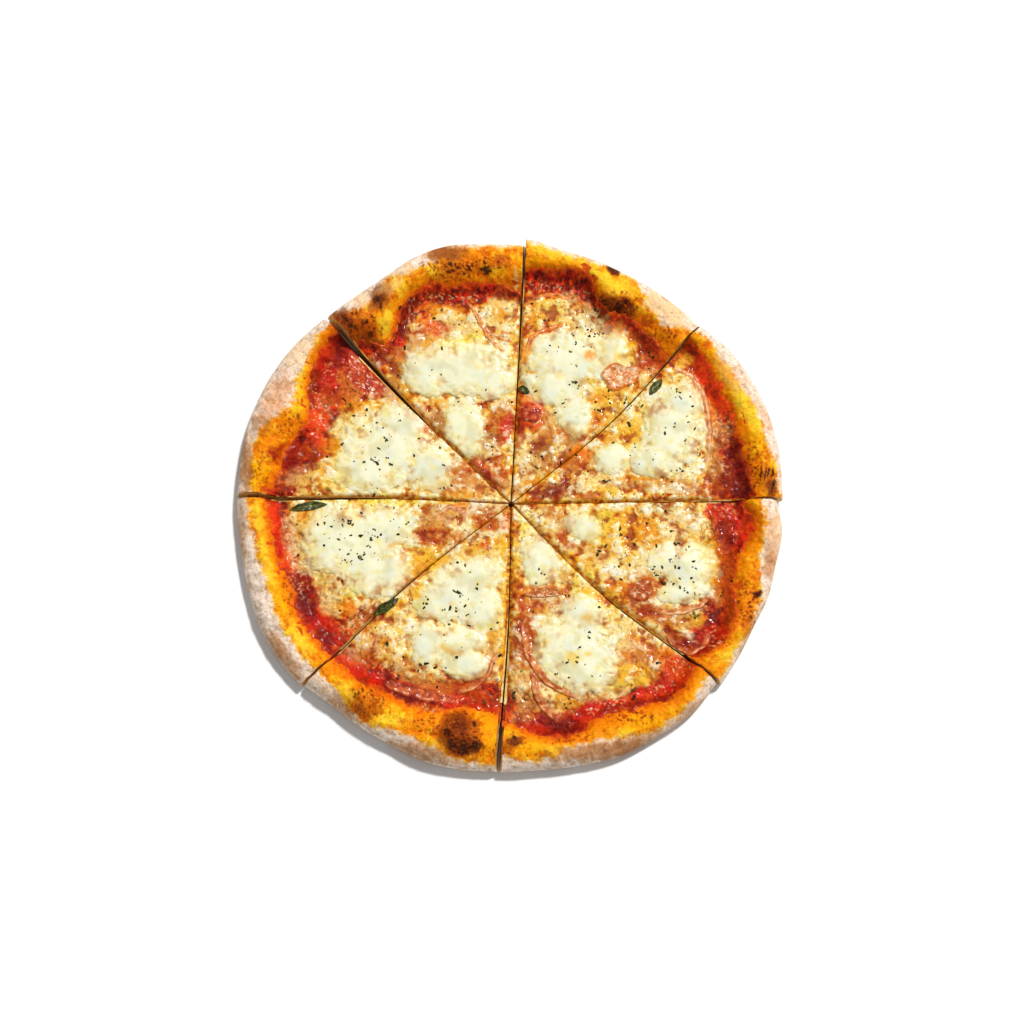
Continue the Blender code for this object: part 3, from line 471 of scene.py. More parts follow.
# Browned and burnt places of the crust: u, v, half lengths, turn, colour, strength.
BAKED = (
    (354, 327, 26, 17, 28, "crust_brown", 0.95), (343, 319, 12, 8, 30, "umber", 0.6), (372, 345, 15, 9, 30, "umber", 0.6),
    (378, 297, 8, 13, 20, "umber", 0.6), (382, 298, 11, 14, 20, "crust_brown", 0.7), (446, 253, 19, 8, 2, "brown", 0.9), (459, 268, 24, 9, 0, "crust_brown", 0.6),
    # The brown entries on this line and the next darken the flour round the lower half and the left of the rim: partly
    # the flour's own browner tone and partly painted shade where the rim turns away from the light.
    (604, 751, 60, 8, -5, "brown", 0.55), (690, 712, 22, 6, -38, "brown", 0.3), (344, 706, 10, 20, -42, "brown", 0.28), (420, 752, 40, 7, 12, "brown", 0.25),
    (283, 655, 7, 28, -35, "brown", 0.38), (240, 545, 6, 44, 4, "brown", 0.26), (776, 540, 6, 30, 0, "beige", 0.5), (752, 640, 8, 20, 26, "brown", 0.35), (246, 470, 6, 26, 0, "brown", 0.42),
    (500, 261, 12, 6, 0, "crust_brown", 0.6), (448, 283, 24, 5, -5, "rust", 0.7), (388, 322, 8, 16, 12, "crust_light", 0.9),
    (399, 286, 9, 6, 0, "crust_light", 0.7), (430, 268, 10, 5, 0, "crust_light", 0.5), (512, 280, 8, 14, 0, "crust_orange", 0.8),
    (500, 285, 14, 6, 0, "rust", 0.6), (404, 270, 10, 6, -25, "beige", 0.6), (475, 262, 16, 5, 0, "crust_orange", 0.7),
    (552, 250, 28, 8, 14, "crust_light", 0.8), (542, 263, 24, 4, 8, "crust", 0.8), (588, 268, 20, 7, 22, "crust_light", 0.7), (606, 284, 22, 7, 26, "crust_light", 0.7), (613, 270, 6, 5, 20, "umber", 0.9),
    (618, 308, 17, 10, 10, "umber", 0.8), (604, 300, 6, 6, 0, "crust_brown", 0.8), (627, 303, 6, 6, 0, "crust_brown", 0.8),
    (637, 326, 8, 12, -10, "rust", 0.9), (643, 342, 8, 10, 0, "umber", 0.6), (664, 335, 20, 12, 20, "crust_orange", 0.8),
    (626, 288, 12, 9, 30, "crust_light", 0.7), (640, 284, 10, 6, 30, "crust_orange", 0.6), (596, 288, 14, 4, 22, "crust_orange", 0.5),
    (668, 311, 22, 10, 38, "beige", 0.9), (652, 300, 8, 9, 40, "beige", 0.8), (655, 352, 14, 8, 0, "rust", 0.5),
    (742, 393, 10, 15, -30, "crust_light", 0.95), (753, 421, 8, 18, -18, "crust_light", 0.95), (755, 442, 7, 12, -10, "crust", 0.7),
    (720, 372, 5, 14, -40, "crust", 0.7), (768, 480, 8, 14, -6, "crust_brown", 0.7), (772, 488, 5, 9, 0, "umber", 0.6),
    (757, 466, 6, 9, 0, "crust_orange", 0.7), (748, 603, 9, 16, 8, "crust_orange", 0.8), (758, 595, 4, 3, 0, "umber", 0.9),
    (744, 574, 9, 18, 0, "crust_orange", 0.6), (756, 540, 6, 20, 0, "crust_orange", 0.7), (750, 625, 8, 14, 20, "crust_brown", 0.5),
    (728, 648, 9, 14, 30, "crust_light", 0.7), (714, 672, 9, 9, 30, "crust_orange", 0.7), (690, 690, 14, 9, -40, "crust", 0.8),
    (643, 720, 26, 8, -14, "crust", 0.9), (612, 722, 18, 7, -8, "crust_orange", 0.7), (606, 735, 22, 4, -8, "crust_light", 0.7),
    (560, 748, 30, 6, 2, "crust_light", 0.8), (530, 745, 14, 7, 0, "crust", 0.8), (515, 741, 7, 5, 0, "umber", 0.8),
    (506, 748, 6, 9, 0, "crust_brown", 0.7), (580, 742, 16, 4, -4, "crust_orange", 0.6), (655, 712, 12, 5, -20, "crust_orange", 0.6),
    (367, 700, 19, 17, 0, "crust_brown", 0.45), (388, 720, 14, 5, 18, "crust_light", 0.9), (345, 692, 10, 12, -30, "crust_light", 0.7),
    (411, 733, 13, 6, 14, "crust_orange", 0.9), (430, 722, 16, 8, 10, "crust_orange", 0.7), (459, 734, 19, 21, 0, "crust_brown", 0.80), (457, 735, 15, 17, 0, "umber", 0.60), (469, 731, 6, 7, 0, "crust_orange", 0.6),
    (463, 748, 14, 8, 0, "umber", 0.60), (458, 720, 12, 7, 0, "umber", 0.45), (477, 745, 6, 6, 0, "umber", 0.7),
    (490, 735, 9, 20, 0, "crust", 0.8), (440, 745, 10, 6, 10, "crust_light", 0.6), (460, 736, 24, 24, 0, "crust_brown", 0.45), (328, 670, 8, 9, -30, "crust_orange", 0.6),
    (303, 636, 9, 18, -30, "crust_light", 0.9), (280, 600, 8, 22, -18, "crust", 0.8), (264, 540, 6, 26, -8, "crust_light", 0.8),
    (270, 575, 6, 16, -12, "crust_light", 0.7), (282, 570, 6, 18, -12, "crust_orange", 0.6), (296, 608, 6, 14, -22, "crust_brown", 0.45),
    (258, 512, 6, 14, 0, "crust_light", 0.8), (290, 428, 16, 12, 20, "crust_orange", 0.8), (270, 440, 12, 12, 0, "crust_orange", 0.7),
    (290, 454, 18, 12, 0, "sauce_dark", 0.95), (262, 475, 8, 16, 0, "crust", 0.8), (272, 484, 9, 8, 0, "crust_orange", 0.8),
    (303, 376, 6, 26, 4, "crust_light", 0.9), (312, 352, 10, 9, -40, "crust_orange", 0.7), (298, 410, 9, 6, -30, "crust_light", 0.5),
    (256, 452, 6, 9, 0, "crust_orange", 0.6), (326, 334, 8, 7, -40, "crust_orange", 0.8),
    # tints in the flour
    (276, 398, 12, 24, 25, "ham", 0.35), (262, 425, 10, 10, 0, "brown", 0.35), (300, 352, 12, 18, 35, "beige", 0.5),
    (247, 462, 5, 22, 0, "brown", 0.25), (772, 545, 8, 30, 0, "pink", 0.55), (770, 566, 6, 12, 0, "brown", 0.35),
    (728, 375, 8, 20, -38, "pink", 0.45), (764, 412, 5, 18, -25, "pink", 0.4), (640, 738, 26, 6, -14, "brown", 0.3),
    (392, 286, 16, 6, -30, "beige", 0.5), (362, 300, 10, 8, -30, "beige", 0.6), (420, 752, 30, 8, 12, "brown", 0.2),
    (668, 296, 22, 4, 36, "brown", 0.35), (690, 316, 12, 5, 45, "crust_orange", 0.6),
    (516, 284, 2.5, 17, 0, "beige", 0.8), (736, 404, 9, 20, -26, "crust_light", 0.8), (744, 432, 7, 14, -12, "crust_orange", 0.7),
    (604, 735, 15, 4, -8, "crust_orange", 0.7), (641, 283, 9, 5, 32, "crust_orange", 0.8), (621, 301, 9, 6, 20, "crust_brown", 0.6),
)

# Dried herb flakes that stand out: u, v, size in plan steps.
HERBS = (
    (344, 397, 4), (350, 401, 4), (366, 410, 4), (355, 416, 4), (377, 422, 4), (383, 427, 2), (387, 438, 5.5), (342, 443, 3),
    (327, 455, 3), (365, 461, 4), (373, 457, 4), (377, 461, 5), (388, 458, 4), (391, 463, 4), (354, 461, 2), (379, 448, 3),
    (400, 420, 2), (419, 438, 3), (440, 447, 3), (414, 455, 3), (443, 464, 2), (444, 487, 3), (452, 485, 3), (328, 488, 3),
    (374, 493, 3), (398, 374, 3), (441, 374, 2.5), (442, 348, 3.5), (459, 323, 2), (442, 308, 3), (434, 317, 4.5), (477, 330, 2),
    (479, 310, 3), (490, 334, 2), (405, 344, 4), (400, 307, 3), (458, 401, 2.5), (493, 447, 4.5), (488, 458, 3), (486, 389, 2),
    (512, 401, 3), (544, 318, 4), (551, 319, 4), (532, 302, 3), (550, 345, 2), (573, 332, 4), (576, 342, 3), (571, 351, 3),
    (577, 326, 3), (589, 336, 5), (592, 328, 4), (598, 334, 5), (603, 332, 3), (600, 314, 3), (596, 309, 5), (584, 310, 4),
    (588, 328, 3), (584, 346, 2), (577, 365, 4), (576, 383, 6), (579, 386, 4), (609, 389, 3), (563, 402, 4), (556, 412, 3),
    (598, 410, 4), (596, 401, 3), (610, 402, 4), (626, 397, 4), (625, 402, 3), (642, 405, 3), (536, 390, 3), (524, 390, 5),
    (652, 352, 5), (649, 367, 2), (544, 458, 4), (531, 451, 3), (537, 467, 4), (561, 461, 3), (576, 454, 3), (630, 424, 5),
    (635, 444, 4), (613, 442, 3), (606, 480, 5), (610, 479, 3), (588, 470, 3), (556, 483, 2), (672, 480, 3), (622, 493, 2),
    (663, 493, 2), (678, 392, 5), (680, 398, 4), (690, 396, 4), (693, 406, 3), (689, 422, 4), (695, 428, 3), (675, 423, 2),
    (665, 433, 3), (687, 438, 4), (700, 453, 3), (680, 469, 4), (683, 470, 3), (653, 459, 2), (621, 531, 5), (628, 536, 3),
    (634, 542, 4), (599, 550, 5.5), (606, 545, 3), (619, 565, 3), (630, 564, 3), (621, 578, 3), (657, 545, 4), (678, 543, 6),
    (688, 547, 4), (670, 560, 3), (676, 557, 4), (677, 565, 5), (662, 566, 3), (654, 570, 4), (656, 574, 3), (663, 581, 5.5),
    (674, 583, 4), (684, 590, 4), (680, 587, 3), (695, 567, 4), (694, 561, 3), (693, 579, 4), (688, 592, 2.5), (665, 592, 2.5),
    (695, 593, 2.5), (724, 592, 4.5), (732, 580, 3), (696, 615, 5.5), (710, 603, 4), (653, 517, 4), (646, 522, 4), (666, 510, 3),
    (671, 530, 3), (543, 513, 2), (539, 569, 3), (541, 573, 3), (545, 574, 2.5), (536, 582, 3), (566, 595, 4), (550, 594, 3),
    (600, 606, 4), (532, 610, 4), (590, 632, 3), (590, 639, 4), (580, 647, 3.5), (578, 657, 3), (567, 662, 3), (577, 662, 3),
    (569, 677, 3), (658, 664, 4.5), (634, 695, 5.5), (522, 670, 3), (514, 694, 5), (525, 698, 3), (566, 705, 4), (569, 698, 3),
    (557, 674, 4), (592, 676, 2), (457, 562, 3), (465, 564, 3.5), (456, 593, 6), (460, 596, 4), (428, 599, 3), (425, 605, 5.5),
    (444, 610, 4), (451, 607, 5), (456, 609, 4), (465, 606, 3), (452, 620, 4), (468, 614, 4.5), (469, 625, 4.5), (449, 626, 4),
    (444, 635, 4), (457, 656, 5), (386, 643, 5), (424, 663, 5.5), (435, 667, 3.5), (403, 656, 3), (418, 670, 3), (398, 676, 4),
    (491, 628, 3), (497, 622, 3), (500, 654, 3.5), (484, 700, 4), (437, 685, 3), (477, 588, 3), (412, 599, 2), (344, 519, 4),
    (348, 522, 5), (352, 524, 5), (350, 534, 4), (361, 512, 3.5), (342, 524, 3), (361, 535, 3.5), (373, 528, 4), (371, 538, 5),
    (376, 536, 4), (381, 534, 3), (369, 545, 4), (398, 534, 3), (408, 522, 4), (394, 507, 2.5), (325, 522, 4), (318, 524, 3),
    (331, 526, 4), (324, 545, 2.5), (339, 539, 2.5), (348, 554, 3), (360, 554, 6), (345, 560, 3), (351, 561, 2.5), (362, 559, 3),
    (342, 580, 3), (360, 609, 4), (360, 617, 4), (340, 610, 3), (297, 523, 2), (298, 553, 3), (456, 501, 4),
)


# ------------------------------------------------------------------ heights


def strands(u, v):
    """Melted shreds in three directions, each in its own areas: high on a shred, low between."""
    total = np.zeros(np.shape(u))
    for i, turn in enumerate((0.35, 1.40, 2.50)):
        c, s = math.cos(turn), math.sin(turn)
        along, across = u * c + v * s, v * c - u * s
        across = across + 1.6 * noise(along, across, 15, 150 + i)
        total = total + noise(along * 0.26, across, 2.9, 153 + i) * ease((noise(u, v, 19, 156 + i) + 0.12) / 0.35)
    return np.clip(total, -1, 1)


def swell(x, y, period, phase):
    return 0.5 * (np.sin(x * 2 * math.pi / period + phase) + np.cos(y * 2 * math.pi / (period * 1.3) + 1.7 * phase))


def rim_sizes(k_of, share):
    edge = by_slice(OUTLINES, k_of, share)
    sauce = by_slice(SAUCE, k_of, share)
    foot = np.clip(edge - sauce + 8.0, 19.0, 38.0)
    return edge, sauce, foot


def dough_height(x, y, relief=True):
    """The dough's upper surface."""
    k_of, share, radius = where(x, y)
    edge, sauce, foot = rim_sizes(k_of, share)
    inward = edge - EDGE_IN - radius
    crest_in = 0.42 * foot
    crest = np.array(CRESTS)[k_of] - 0.6 + 0.8 * swell(x, y, 47.0, 0.6)
    along = np.degrees(np.arctan2(y, x)) * 2.6
    crest = crest + 0.7 * noise(along, inward * 0.4, 17.0, 3)
    out = np.clip((crest_in - inward) / crest_in, 0, 1)
    outer = 5.0 + (crest - 5.0) * np.sqrt(np.clip(1 - out**2.2, 0, 1))
    rise = ease((foot - inward) / (foot - crest_in))
    inner = 4.2 + (crest - 4.2) * rise
    z = np.where(inward < crest_in, outer, inner)
    on_rim = ease((foot - inward) / 8.0) * ease(inward / 3.0)
    for distance, angle, size, high in BLISTERS:
        bx, by = distance * math.cos(math.radians(angle)), distance * math.sin(math.radians(angle))
        away = np.hypot(x - bx, y - by) / size
        z = z + high * ease(inward / 6.0) * np.cos(0.5 * math.pi * np.clip(away, 0, 1)) ** 1.3
    if relief:
        u, v = plan(x, y)
        z = z + on_rim * (0.95 * noise(u, v, 24, 11) + 0.72 * noise(u, v, 10, 12) + 0.40 * noise(u, v, 4.2, 13) + 0.16 * noise(u, v, 2.2, 131))
        # fine creases that run along the rim
        z = z + ease((11 - inward) / 6) * ease(inward / 1.2) * 0.20 * noise(along * 0.75, inward * 2.4, 3.2, 14)
        z = z + ease((13 - inward) / 6) * ease(inward / 1.2) * 0.07 * noise(u, v, 1.7, 15)
    return np.minimum(z, TOP_LIMIT)


def edge_of_sauce(x, y, u, v):
    """Millimetres in from the sauce's uneven outer line."""
    k_of, share, radius = where(x, y)
    sauce = by_slice(SAUCE, k_of, share)
    wobble = 1.5 * noise(u, v, 14, 21) + 1.1 * noise(u, v, 6, 22) + 0.6 * noise(u, v, 2.8, 23)
    return sauce + wobble - radius


def edge_of_cheese(x, y, u, v):
    """Millimetres in from the cheese's ragged outer line."""
    k_of, share, radius = where(x, y)
    line = by_slice(SAUCE, k_of, share) - by_slice(BANDS, k_of, share)
    wobble = 3.0 * noise(u, v, 16, 25) + 2.2 * noise(u, v, 7, 26) + 1.2 * noise(u, v, 3.2, 27)
    return line + wobble - radius


def side_drop(x, y):
    """How far the top sinks right at the cuts, where the slices' edges are rounded."""
    k_of, share, radius = where(x, y)
    span = 0.79 * radius
    away = np.minimum(share, 1 - share) * span
    return 0.9 * np.exp(-np.maximum(away - 0.3, 0) / 0.8)


def sauce_height(x, y):
    u, v = plan(x, y)
    into = edge_of_sauce(x, y, u, v)
    base = dough_height(x, y, relief=False)
    thick = 1.5 * ease((into + 0.6) / 3.5) - 0.35
    lumps = 0.50 * noise(u, v, 9, 31) + 0.34 * noise(u, v, 4.0, 32) + 0.16 * noise(u, v, 2.2, 33)
    _, drop = slope_at(x, y)
    z = base + thick + lumps * ease(into / 2.0) - 0.6 * side_drop(x, y) - 0.3 * drop
    over = np.maximum(z - (dough_height(x, y) - 0.5 * side_drop(x, y) - 0.3), 0)
    return z - over * ease((0.2 - into) / 0.9)


def pool_share(u, v):
    """How much mozzarella lies at each place, 0 to 1, how high it stands, and how deep inside a pool the place is."""
    share = np.zeros(np.shape(u))
    high = np.zeros(np.shape(u))
    deep = np.zeros(np.shape(u))
    for name, (ovals, crown) in POOLS.items():
        reach = [1.3 * max(o[2], o[3]) for o in ovals]
        near = (u > min(o[0] - r for o, r in zip(ovals, reach))) & (u < max(o[0] + r for o, r in zip(ovals, reach)))
        near &= (v > min(o[1] - r for o, r in zip(ovals, reach))) & (v < max(o[1] + r for o, r in zip(ovals, reach)))
        if not near.any():
            continue
        d = pool_edge(name, u[near], v[near])
        share[near] = np.maximum(share[near], ease((1.08 - d) / 0.22))
        high[near] = np.maximum(high[near], crown * np.clip(1 - np.clip(d, 0, 1) ** 2.2, 0, 1) ** 0.7)
        deep[near] = np.maximum(deep[near], ease((0.80 - d) / 0.5))
    return share, high, deep


def pool_halo(u, v):
    """How near a pool's rim each place outside it is, 0 to 1."""
    near_rim = np.zeros(np.shape(u))
    for name, (ovals, _) in POOLS.items():
        reach = [1.6 * max(o[2], o[3]) for o in ovals]
        near = (u > min(o[0] - r for o, r in zip(ovals, reach))) & (u < max(o[0] + r for o, r in zip(ovals, reach)))
        near &= (v > min(o[1] - r for o, r in zip(ovals, reach))) & (v < max(o[1] + r for o, r in zip(ovals, reach)))
        if near.any():
            near_rim[near] = np.maximum(near_rim[near], ease((1.50 - pool_edge(name, u[near], v[near])) / 0.45))
    return near_rim


def cheese_height(x, y, relief=True):
    u, v = plan(x, y)
    into = edge_of_cheese(x, y, u, v)
    base = dough_height(x, y, relief=False) + 1.2
    thick = 2.1 * ease((into + 1.0) / 9.0) - 0.25
    share, _, _ = pool_share(u, v)
    rough = (1 - 0.90 * share) * ease((into + 1.0) / 3.0)
    lumps = 0.72 * fbm(u, v, 16, 2, 35) + 0.27 * noise(u, v, 5.5, 36)
    if relief:
        lumps = lumps + 0.11 * noise(u, v, 2.8, 37) + 0.06 * noise(u, v, 1.6, 38) + 0.12 * strands(u, v)
    _, drop = slope_at(x, y)
    z = base + thick + lumps * rough - 0.6 * side_drop(x, y) - drop
    z = np.maximum(z, base - 0.6)
    # past the sauce's edge it goes down under the crust
    sauce_in = edge_of_sauce(x, y, u, v)
    over = np.maximum(z - (dough_height(x, y) - 0.5 * side_drop(x, y) - 0.35), 0)
    return z - over * ease((1.2 - sauce_in) / 2.0)


def top_height(x, y):
    """The topmost surface of the field, for what lies on it."""
    u, v = plan(x, y)
    share, high, _ = pool_share(u, v)
    return np.maximum(np.maximum(cheese_height(x, y) + high, sauce_height(x, y)), dough_height(x, y))


# ------------------------------------------------------------------ colours


def stained(colour, u, v, stains, edge=0.35, seed=400):
    rough = 0.26 * noise(u, v, 8, seed) + 0.20 * noise(u, v, 3.4, seed + 1)
    for cu, cv, ru, rv, turn, name, strength in stains:
        near = (np.abs(u - cu) < 1.9 * max(ru, rv)) & (np.abs(v - cv) < 1.9 * max(ru, rv))
        if not near.any():
            continue
        d = oval(u[near], v[near], cu, cv, ru, rv, turn) + rough[near]
        share = strength * ease((1.0 + edge - d) / (edge * 2))
        colour[near] = mixed(colour[near], RGB[name], share)
    return colour


def within(u, v, places, soft=0.4):
    """How far inside any of the places each point is, 0 to 1."""
    share = np.zeros(len(u))
    for cu, cv, ru, rv, turn in places:
        near = (np.abs(u - cu) < 1.6 * max(ru, rv)) & (np.abs(v - cv) < 1.6 * max(ru, rv))
        if near.any():
            share[near] = np.maximum(share[near], ease((1.0 + soft - oval(u[near], v[near], cu, cv, ru, rv, turn)) / (2 * soft)))
    return share


def specks(u, v, size, seed, share, soft=0.12):
    """Small scattered spots, 0 to 1, that cover about a share of the place."""
    d, own = cells(u + 1.2 * noise(u, v, 3, seed + 3), v + 1.2 * noise(u, v, 3, seed + 4), size, seed)
    reach = 0.10 + 0.42 * own
    return ease((reach - d) / soft) * (own > 1 - share)


def sauce_colour(x, y, u, v):
    a = fbm(u, v, 16, 3, 51)
    b = fbm(u, v, 5, 3, 52)
    c = mixed(RGB["wine"][None], RGB["sauce"][None], ease(0.52 + 1.0 * a + 0.8 * b))
    c = mixed(c, RGB["sauce_bright"][None], ease((a + 0.8 * b - 0.10) / 0.45) * 0.85)
    c = mixed(c, RGB["orange"][None], ease((b + 0.5 * noise(u, v, 7, 53) - 0.32) / 0.4) * 0.65)
    pu, pv = plan(x, y)
    # hollow follows the sauce's own lumps, the same noise as in sauce_height: the next two lines paint shade into its
    # hollows and light onto its tops
    hollow = 0.6 * noise(pu, pv, 4.0, 32) + 0.4 * noise(pu, pv, 2.2, 33)
    c = mixed(c, RGB["wine"][None] * 0.70, ease((-0.06 - hollow) / 0.28) * 0.75)
    c = mixed(c, np.array([240.0, 104.0, 44.0])[None], ease((hollow - 0.20) / 0.25) * 0.50)
    into = edge_of_sauce(x, y, u, v)
    c = mixed(c, np.array([206.0, 92.0, 22.0])[None], ease((3.6 - into) / 4.2) * 0.85)
    return c


# Slopes along a slice's two cuts, as wide and as deep in mm, start side and end side.
SLOPES = (
    ((1.9, 1.7), (0.8, 0.6)),
    ((0.8, 0.6), (2.4, 2.0)),
    ((0.7, 0.5), (3.2, 2.4)),
    ((0.9, 0.6), (2.8, 2.2)),
    ((2.6, 2.0), (0.8, 0.6)),
    ((1.2, 0.8), (0.7, 0.5)),
    ((2.4, 2.0), (0.7, 0.5)),
    ((2.8, 2.2), (1.0, 0.7)),
)


def slope_at(x, y):
    """How far down each point is on a slope beside a cut, 0 to 1, and the slope's drop in mm."""
    k_of, share, radius = where(x, y)
    along = 0.79 * radius
    start, end = share * along, (1 - share) * along
    down = np.zeros(radius.shape)
    drop = np.zeros(radius.shape)
    ragged = 1 + 0.35 * noise(radius, start * 0 + 3.0 * k_of, 7.0, 141) + 0.2 * noise(radius, start * 0 + 5.0 * k_of, 2.6, 142)
    fade = ease((radius - 6.0) / 40.0)
    for k in range(8):
        pick = k_of == k
        for away, (wide, deep) in ((start, SLOPES[k][0]), (end, SLOPES[k][1])):
            part = np.clip(1 - (away[pick] - 0.3) / (wide * ragged[pick] * (0.35 + 0.65 * fade[pick])), 0, 1)
            down[pick] = np.maximum(down[pick], part * ease(wide / 2.4))
            drop[pick] = np.maximum(drop[pick], deep * (0.4 + 0.6 * fade[pick]) * part**1.3)
    return down, drop


def field_colour(x, y, z):
    """Colour of the sauce and the melted cheese, seen from above."""
    u, v = plan(x, y, z)
    into = edge_of_cheese(x, y, u, v)
    wu = u + 3.4 * noise(u, v, 14, 61) + 2.0 * noise(u, v, 6, 611) + 0.9 * noise(u, v, 2.8, 612)
    wv = v + 3.4 * noise(u, v, 14, 62) + 2.0 * noise(u, v, 6, 621) + 0.9 * noise(u, v, 2.8, 622)
    broad = fbm(wu, wv, 24, 3, 63)
    fine = fbm(wu, wv, 8, 3, 64, 0.55)
    flat_u, flat_v = plan(x, y)
    shred = strands(flat_u, flat_v)
    # hill follows the cheese's own lumps, the same noise as in cheese_height, and it raises the colour index below:
    # lower places go towards ember and rust, higher ones towards cream. This is partly the oilier hollows and paler
    # tops of the cheese and partly painted shade and light
    hill = 0.75 * fbm(flat_u, flat_v, 16, 2, 35) + 0.34 * noise(flat_u, flat_v, 5.5, 36) + 0.12 * noise(flat_u, flat_v, 2.8, 37)
    index = 0.485 + 0.60 * broad + 0.24 * fine + 0.55 * hill + 0.12 * shred - 0.26 * ease((9 - into) / 12)
    stops = ((0.02, "ember"), (0.18, "rust"), (0.32, "amber"), (0.45, "straw"), (0.60, "cream"), (0.84, "white"))
    c = np.repeat(RGB["ember"][None], len(u), 0)
    for (low, first), (high, second) in zip(stops, stops[1:]):
        c = mixed(c, RGB[second][None], ease((index - low) / (high - low)))
    c = mixed(c, RGB["pink"][None], ease((noise(wu, wv, 11, 65) - 0.2) / 0.4) * 0.25)
    # bare sauce round the cheese, then the local paint on both
    sauce = sauce_colour(x, y, wu, wv)
    c = mixed(sauce, c, ease((into + 2.2) / 7.0))
    halo = pool_halo(wu, wv)
    c = mixed(c, np.array([247.0, 236.0, 196.0])[None], halo * ease((hill + 0.48) / 0.5) * 0.85)
    c = stained(c, wu, wv, STAINS, 0.42)
    rim = edge_of_sauce(x, y, u, v)
    c = mixed(c, np.array([208.0, 96.0, 22.0])[None], ease((3.4 - rim) / 4.2) * 0.80)
    # Ember in the hollows of the lumps, partly oil and partly painted shade.
    c = mixed(c, RGB["ember"][None], ease((-hill - 0.18) / 0.3) * (0.60 - 0.30 * halo))
    c = mixed(c, RGB["gold"][None], ease((0.10 - np.abs(hill - 0.02)) / 0.10) * ease((noise(u, v, 12, 785) + 0.05) / 0.3) * 0.35 * ease((into - 1) / 6))
    # White on the crests of the lumps, partly paler cheese and partly painted highlight.
    c = mixed(c, RGB["white"][None], ease((hill - 0.16) / 0.3) * 0.70 * ease((into - 1) / 6))
    # mottling at the size of the shreds
    busy = (0.35 + 0.65 * ease((noise(u, v, 26, 786) + 0.1) / 0.35)) * (1 - 0.55 * halo)
    c = mixed(c, RGB["white"][None], ease((noise(wu, wv, 6.0, 68) + 0.4 * noise(wu, wv, 2.6, 681) - 0.32) / 0.25) * 0.50 * ease((into + 2) / 6) * busy)
    c = mixed(c, RGB["rust"][None], ease((noise(wu * 1.1, wv, 7.0, 69) + 0.25 * noise(wu, wv, 2.8, 692) - 0.32) / 0.30) * 0.50 * busy)
    # Small umber spots stand for small crevices in the cheese: painted shade.
    c = mixed(c, RGB["umber"][None], ease((noise(wu, wv * 1.1, 3.6, 691) - 0.44) / 0.2) * (0.40 - 0.22 * halo))
    patchy = ease((noise(u, v, 30, 782) + 0.05) / 0.35)
    # Pale on the raised shreds and ember in the low places between them, which strands also raises and lowers in
    # cheese_height: partly the shreds' own paler cheese, partly painted highlight along them and painted shade between
    # them.
    c = mixed(c, RGB["white"][None], ease((shred - 0.28) / 0.22) * 0.34 * patchy * ease((into + 1) / 6))
    c = mixed(c, RGB["ember"][None], ease((-shred - 0.30) / 0.25) * 0.20 * patchy)
    c = mixed(c, RGB["gold"][None], ease((noise(wu, wv, 6.4, 70) - 0.36) / 0.3) * 0.40 * ease((into + 2) / 6))
    c = mixed(c, RGB["amber"][None], specks(wu, wv, 8.0, 66, 0.30, 0.45) * 0.40)
    # Pale flakes in the BITS places: partly specks of cheese and fat, partly painted glints.
    bits = within(u, v, BITS)
    bu, bv = u + 1.6 * noise(u, v, 4.5, 712), v + 1.6 * noise(u, v, 4.5, 713)
    flake = ease((noise(bu, bv * 1.3, 2.7, 714) + 0.45 * noise(bu, bv, 6.0, 715) - 0.24) / 0.22)
    c = mixed(c, np.array([240.0, 206.0, 178.0])[None], flake * bits * 0.72)
    # mozzarella
    pool, _, deep = pool_share(u, v)
    m = np.repeat(RGB["mozzarella"][None], len(u), 0)
    tone = fbm(u, v, 24, 2, 72)
    m = mixed(m, RGB["ice"][None], ease(0.2 + tone) * 0.8)
    m = mixed(m, RGB["white"][None], ease(0.1 - tone) * 0.6)
    # Grey patches on the mozzarella, placed by noise: painted shading.
    m = mixed(m, RGB["grey"][None], ease((fbm(u, v, 22, 2, 73) - 0.06) / 0.5) * 0.32)
    m = mixed(m, RGB["moss"][None], ease((fbm(wu, wv, 10, 3, 74) - 0.16) / 0.35) * 0.42 * (1 - 0.7 * deep))
    m = mixed(m, RGB["straw"][None], ease((noise(wu, wv, 8, 741) - 0.30) / 0.4) * 0.35 * (1 - 0.8 * deep))
    strings = ease((0.055 - np.abs(fbm(wu, wv, 13, 2, 742))) / 0.05) * ease((noise(u, v, 15, 743) - 0.05) / 0.3)
    m = mixed(m, np.array([206.0, 196.0, 96.0])[None], strings * 0.50 * (1 - 0.5 * deep))
    flecks = specks(wu, wv, 9, 75, 0.16, 0.4)
    m = mixed(m, RGB["straw"][None], flecks * 0.35)
    small = [p[:6] + (0.6 * p[6],) for p in STAINS if max(p[2], p[3]) <= 8.5 and p[5] in ("orange", "amber", "gold", "moss")]
    m = stained(m, wu, wv, small, 0.75)
    c = mixed(c, m, pool * (0.62 + 0.38 * deep))
    # the slopes beside the cuts show the baked layers, and they grow darker further down each slope, painted shade in
    # the cut
    down, _ = slope_at(x, y)
    n = fbm(u, v, 6, 3, 76)
    side = mixed(np.array([240.0, 176.0, 62.0])[None], np.array([176.0, 78.0, 20.0])[None], ease(0.42 + 1.4 * n + 0.6 * (down - 0.5)))
    side = mixed(side, RGB["cream"][None], ease((noise(u, v, 4.0, 761) - 0.12) / 0.3) * 0.65)
    side = mixed(side, RGB["umber"][None], ease((noise(u, v, 5.0, 762) - 0.22) / 0.3) * 0.55)
    c = mixed(c, side, ease((down - 0.25) / 0.45) * 0.80)
    wet = 0.55 + 0.45 * ease(0.5 - broad)
    return graded(c, 1.22, 0.52, 1.22), wet


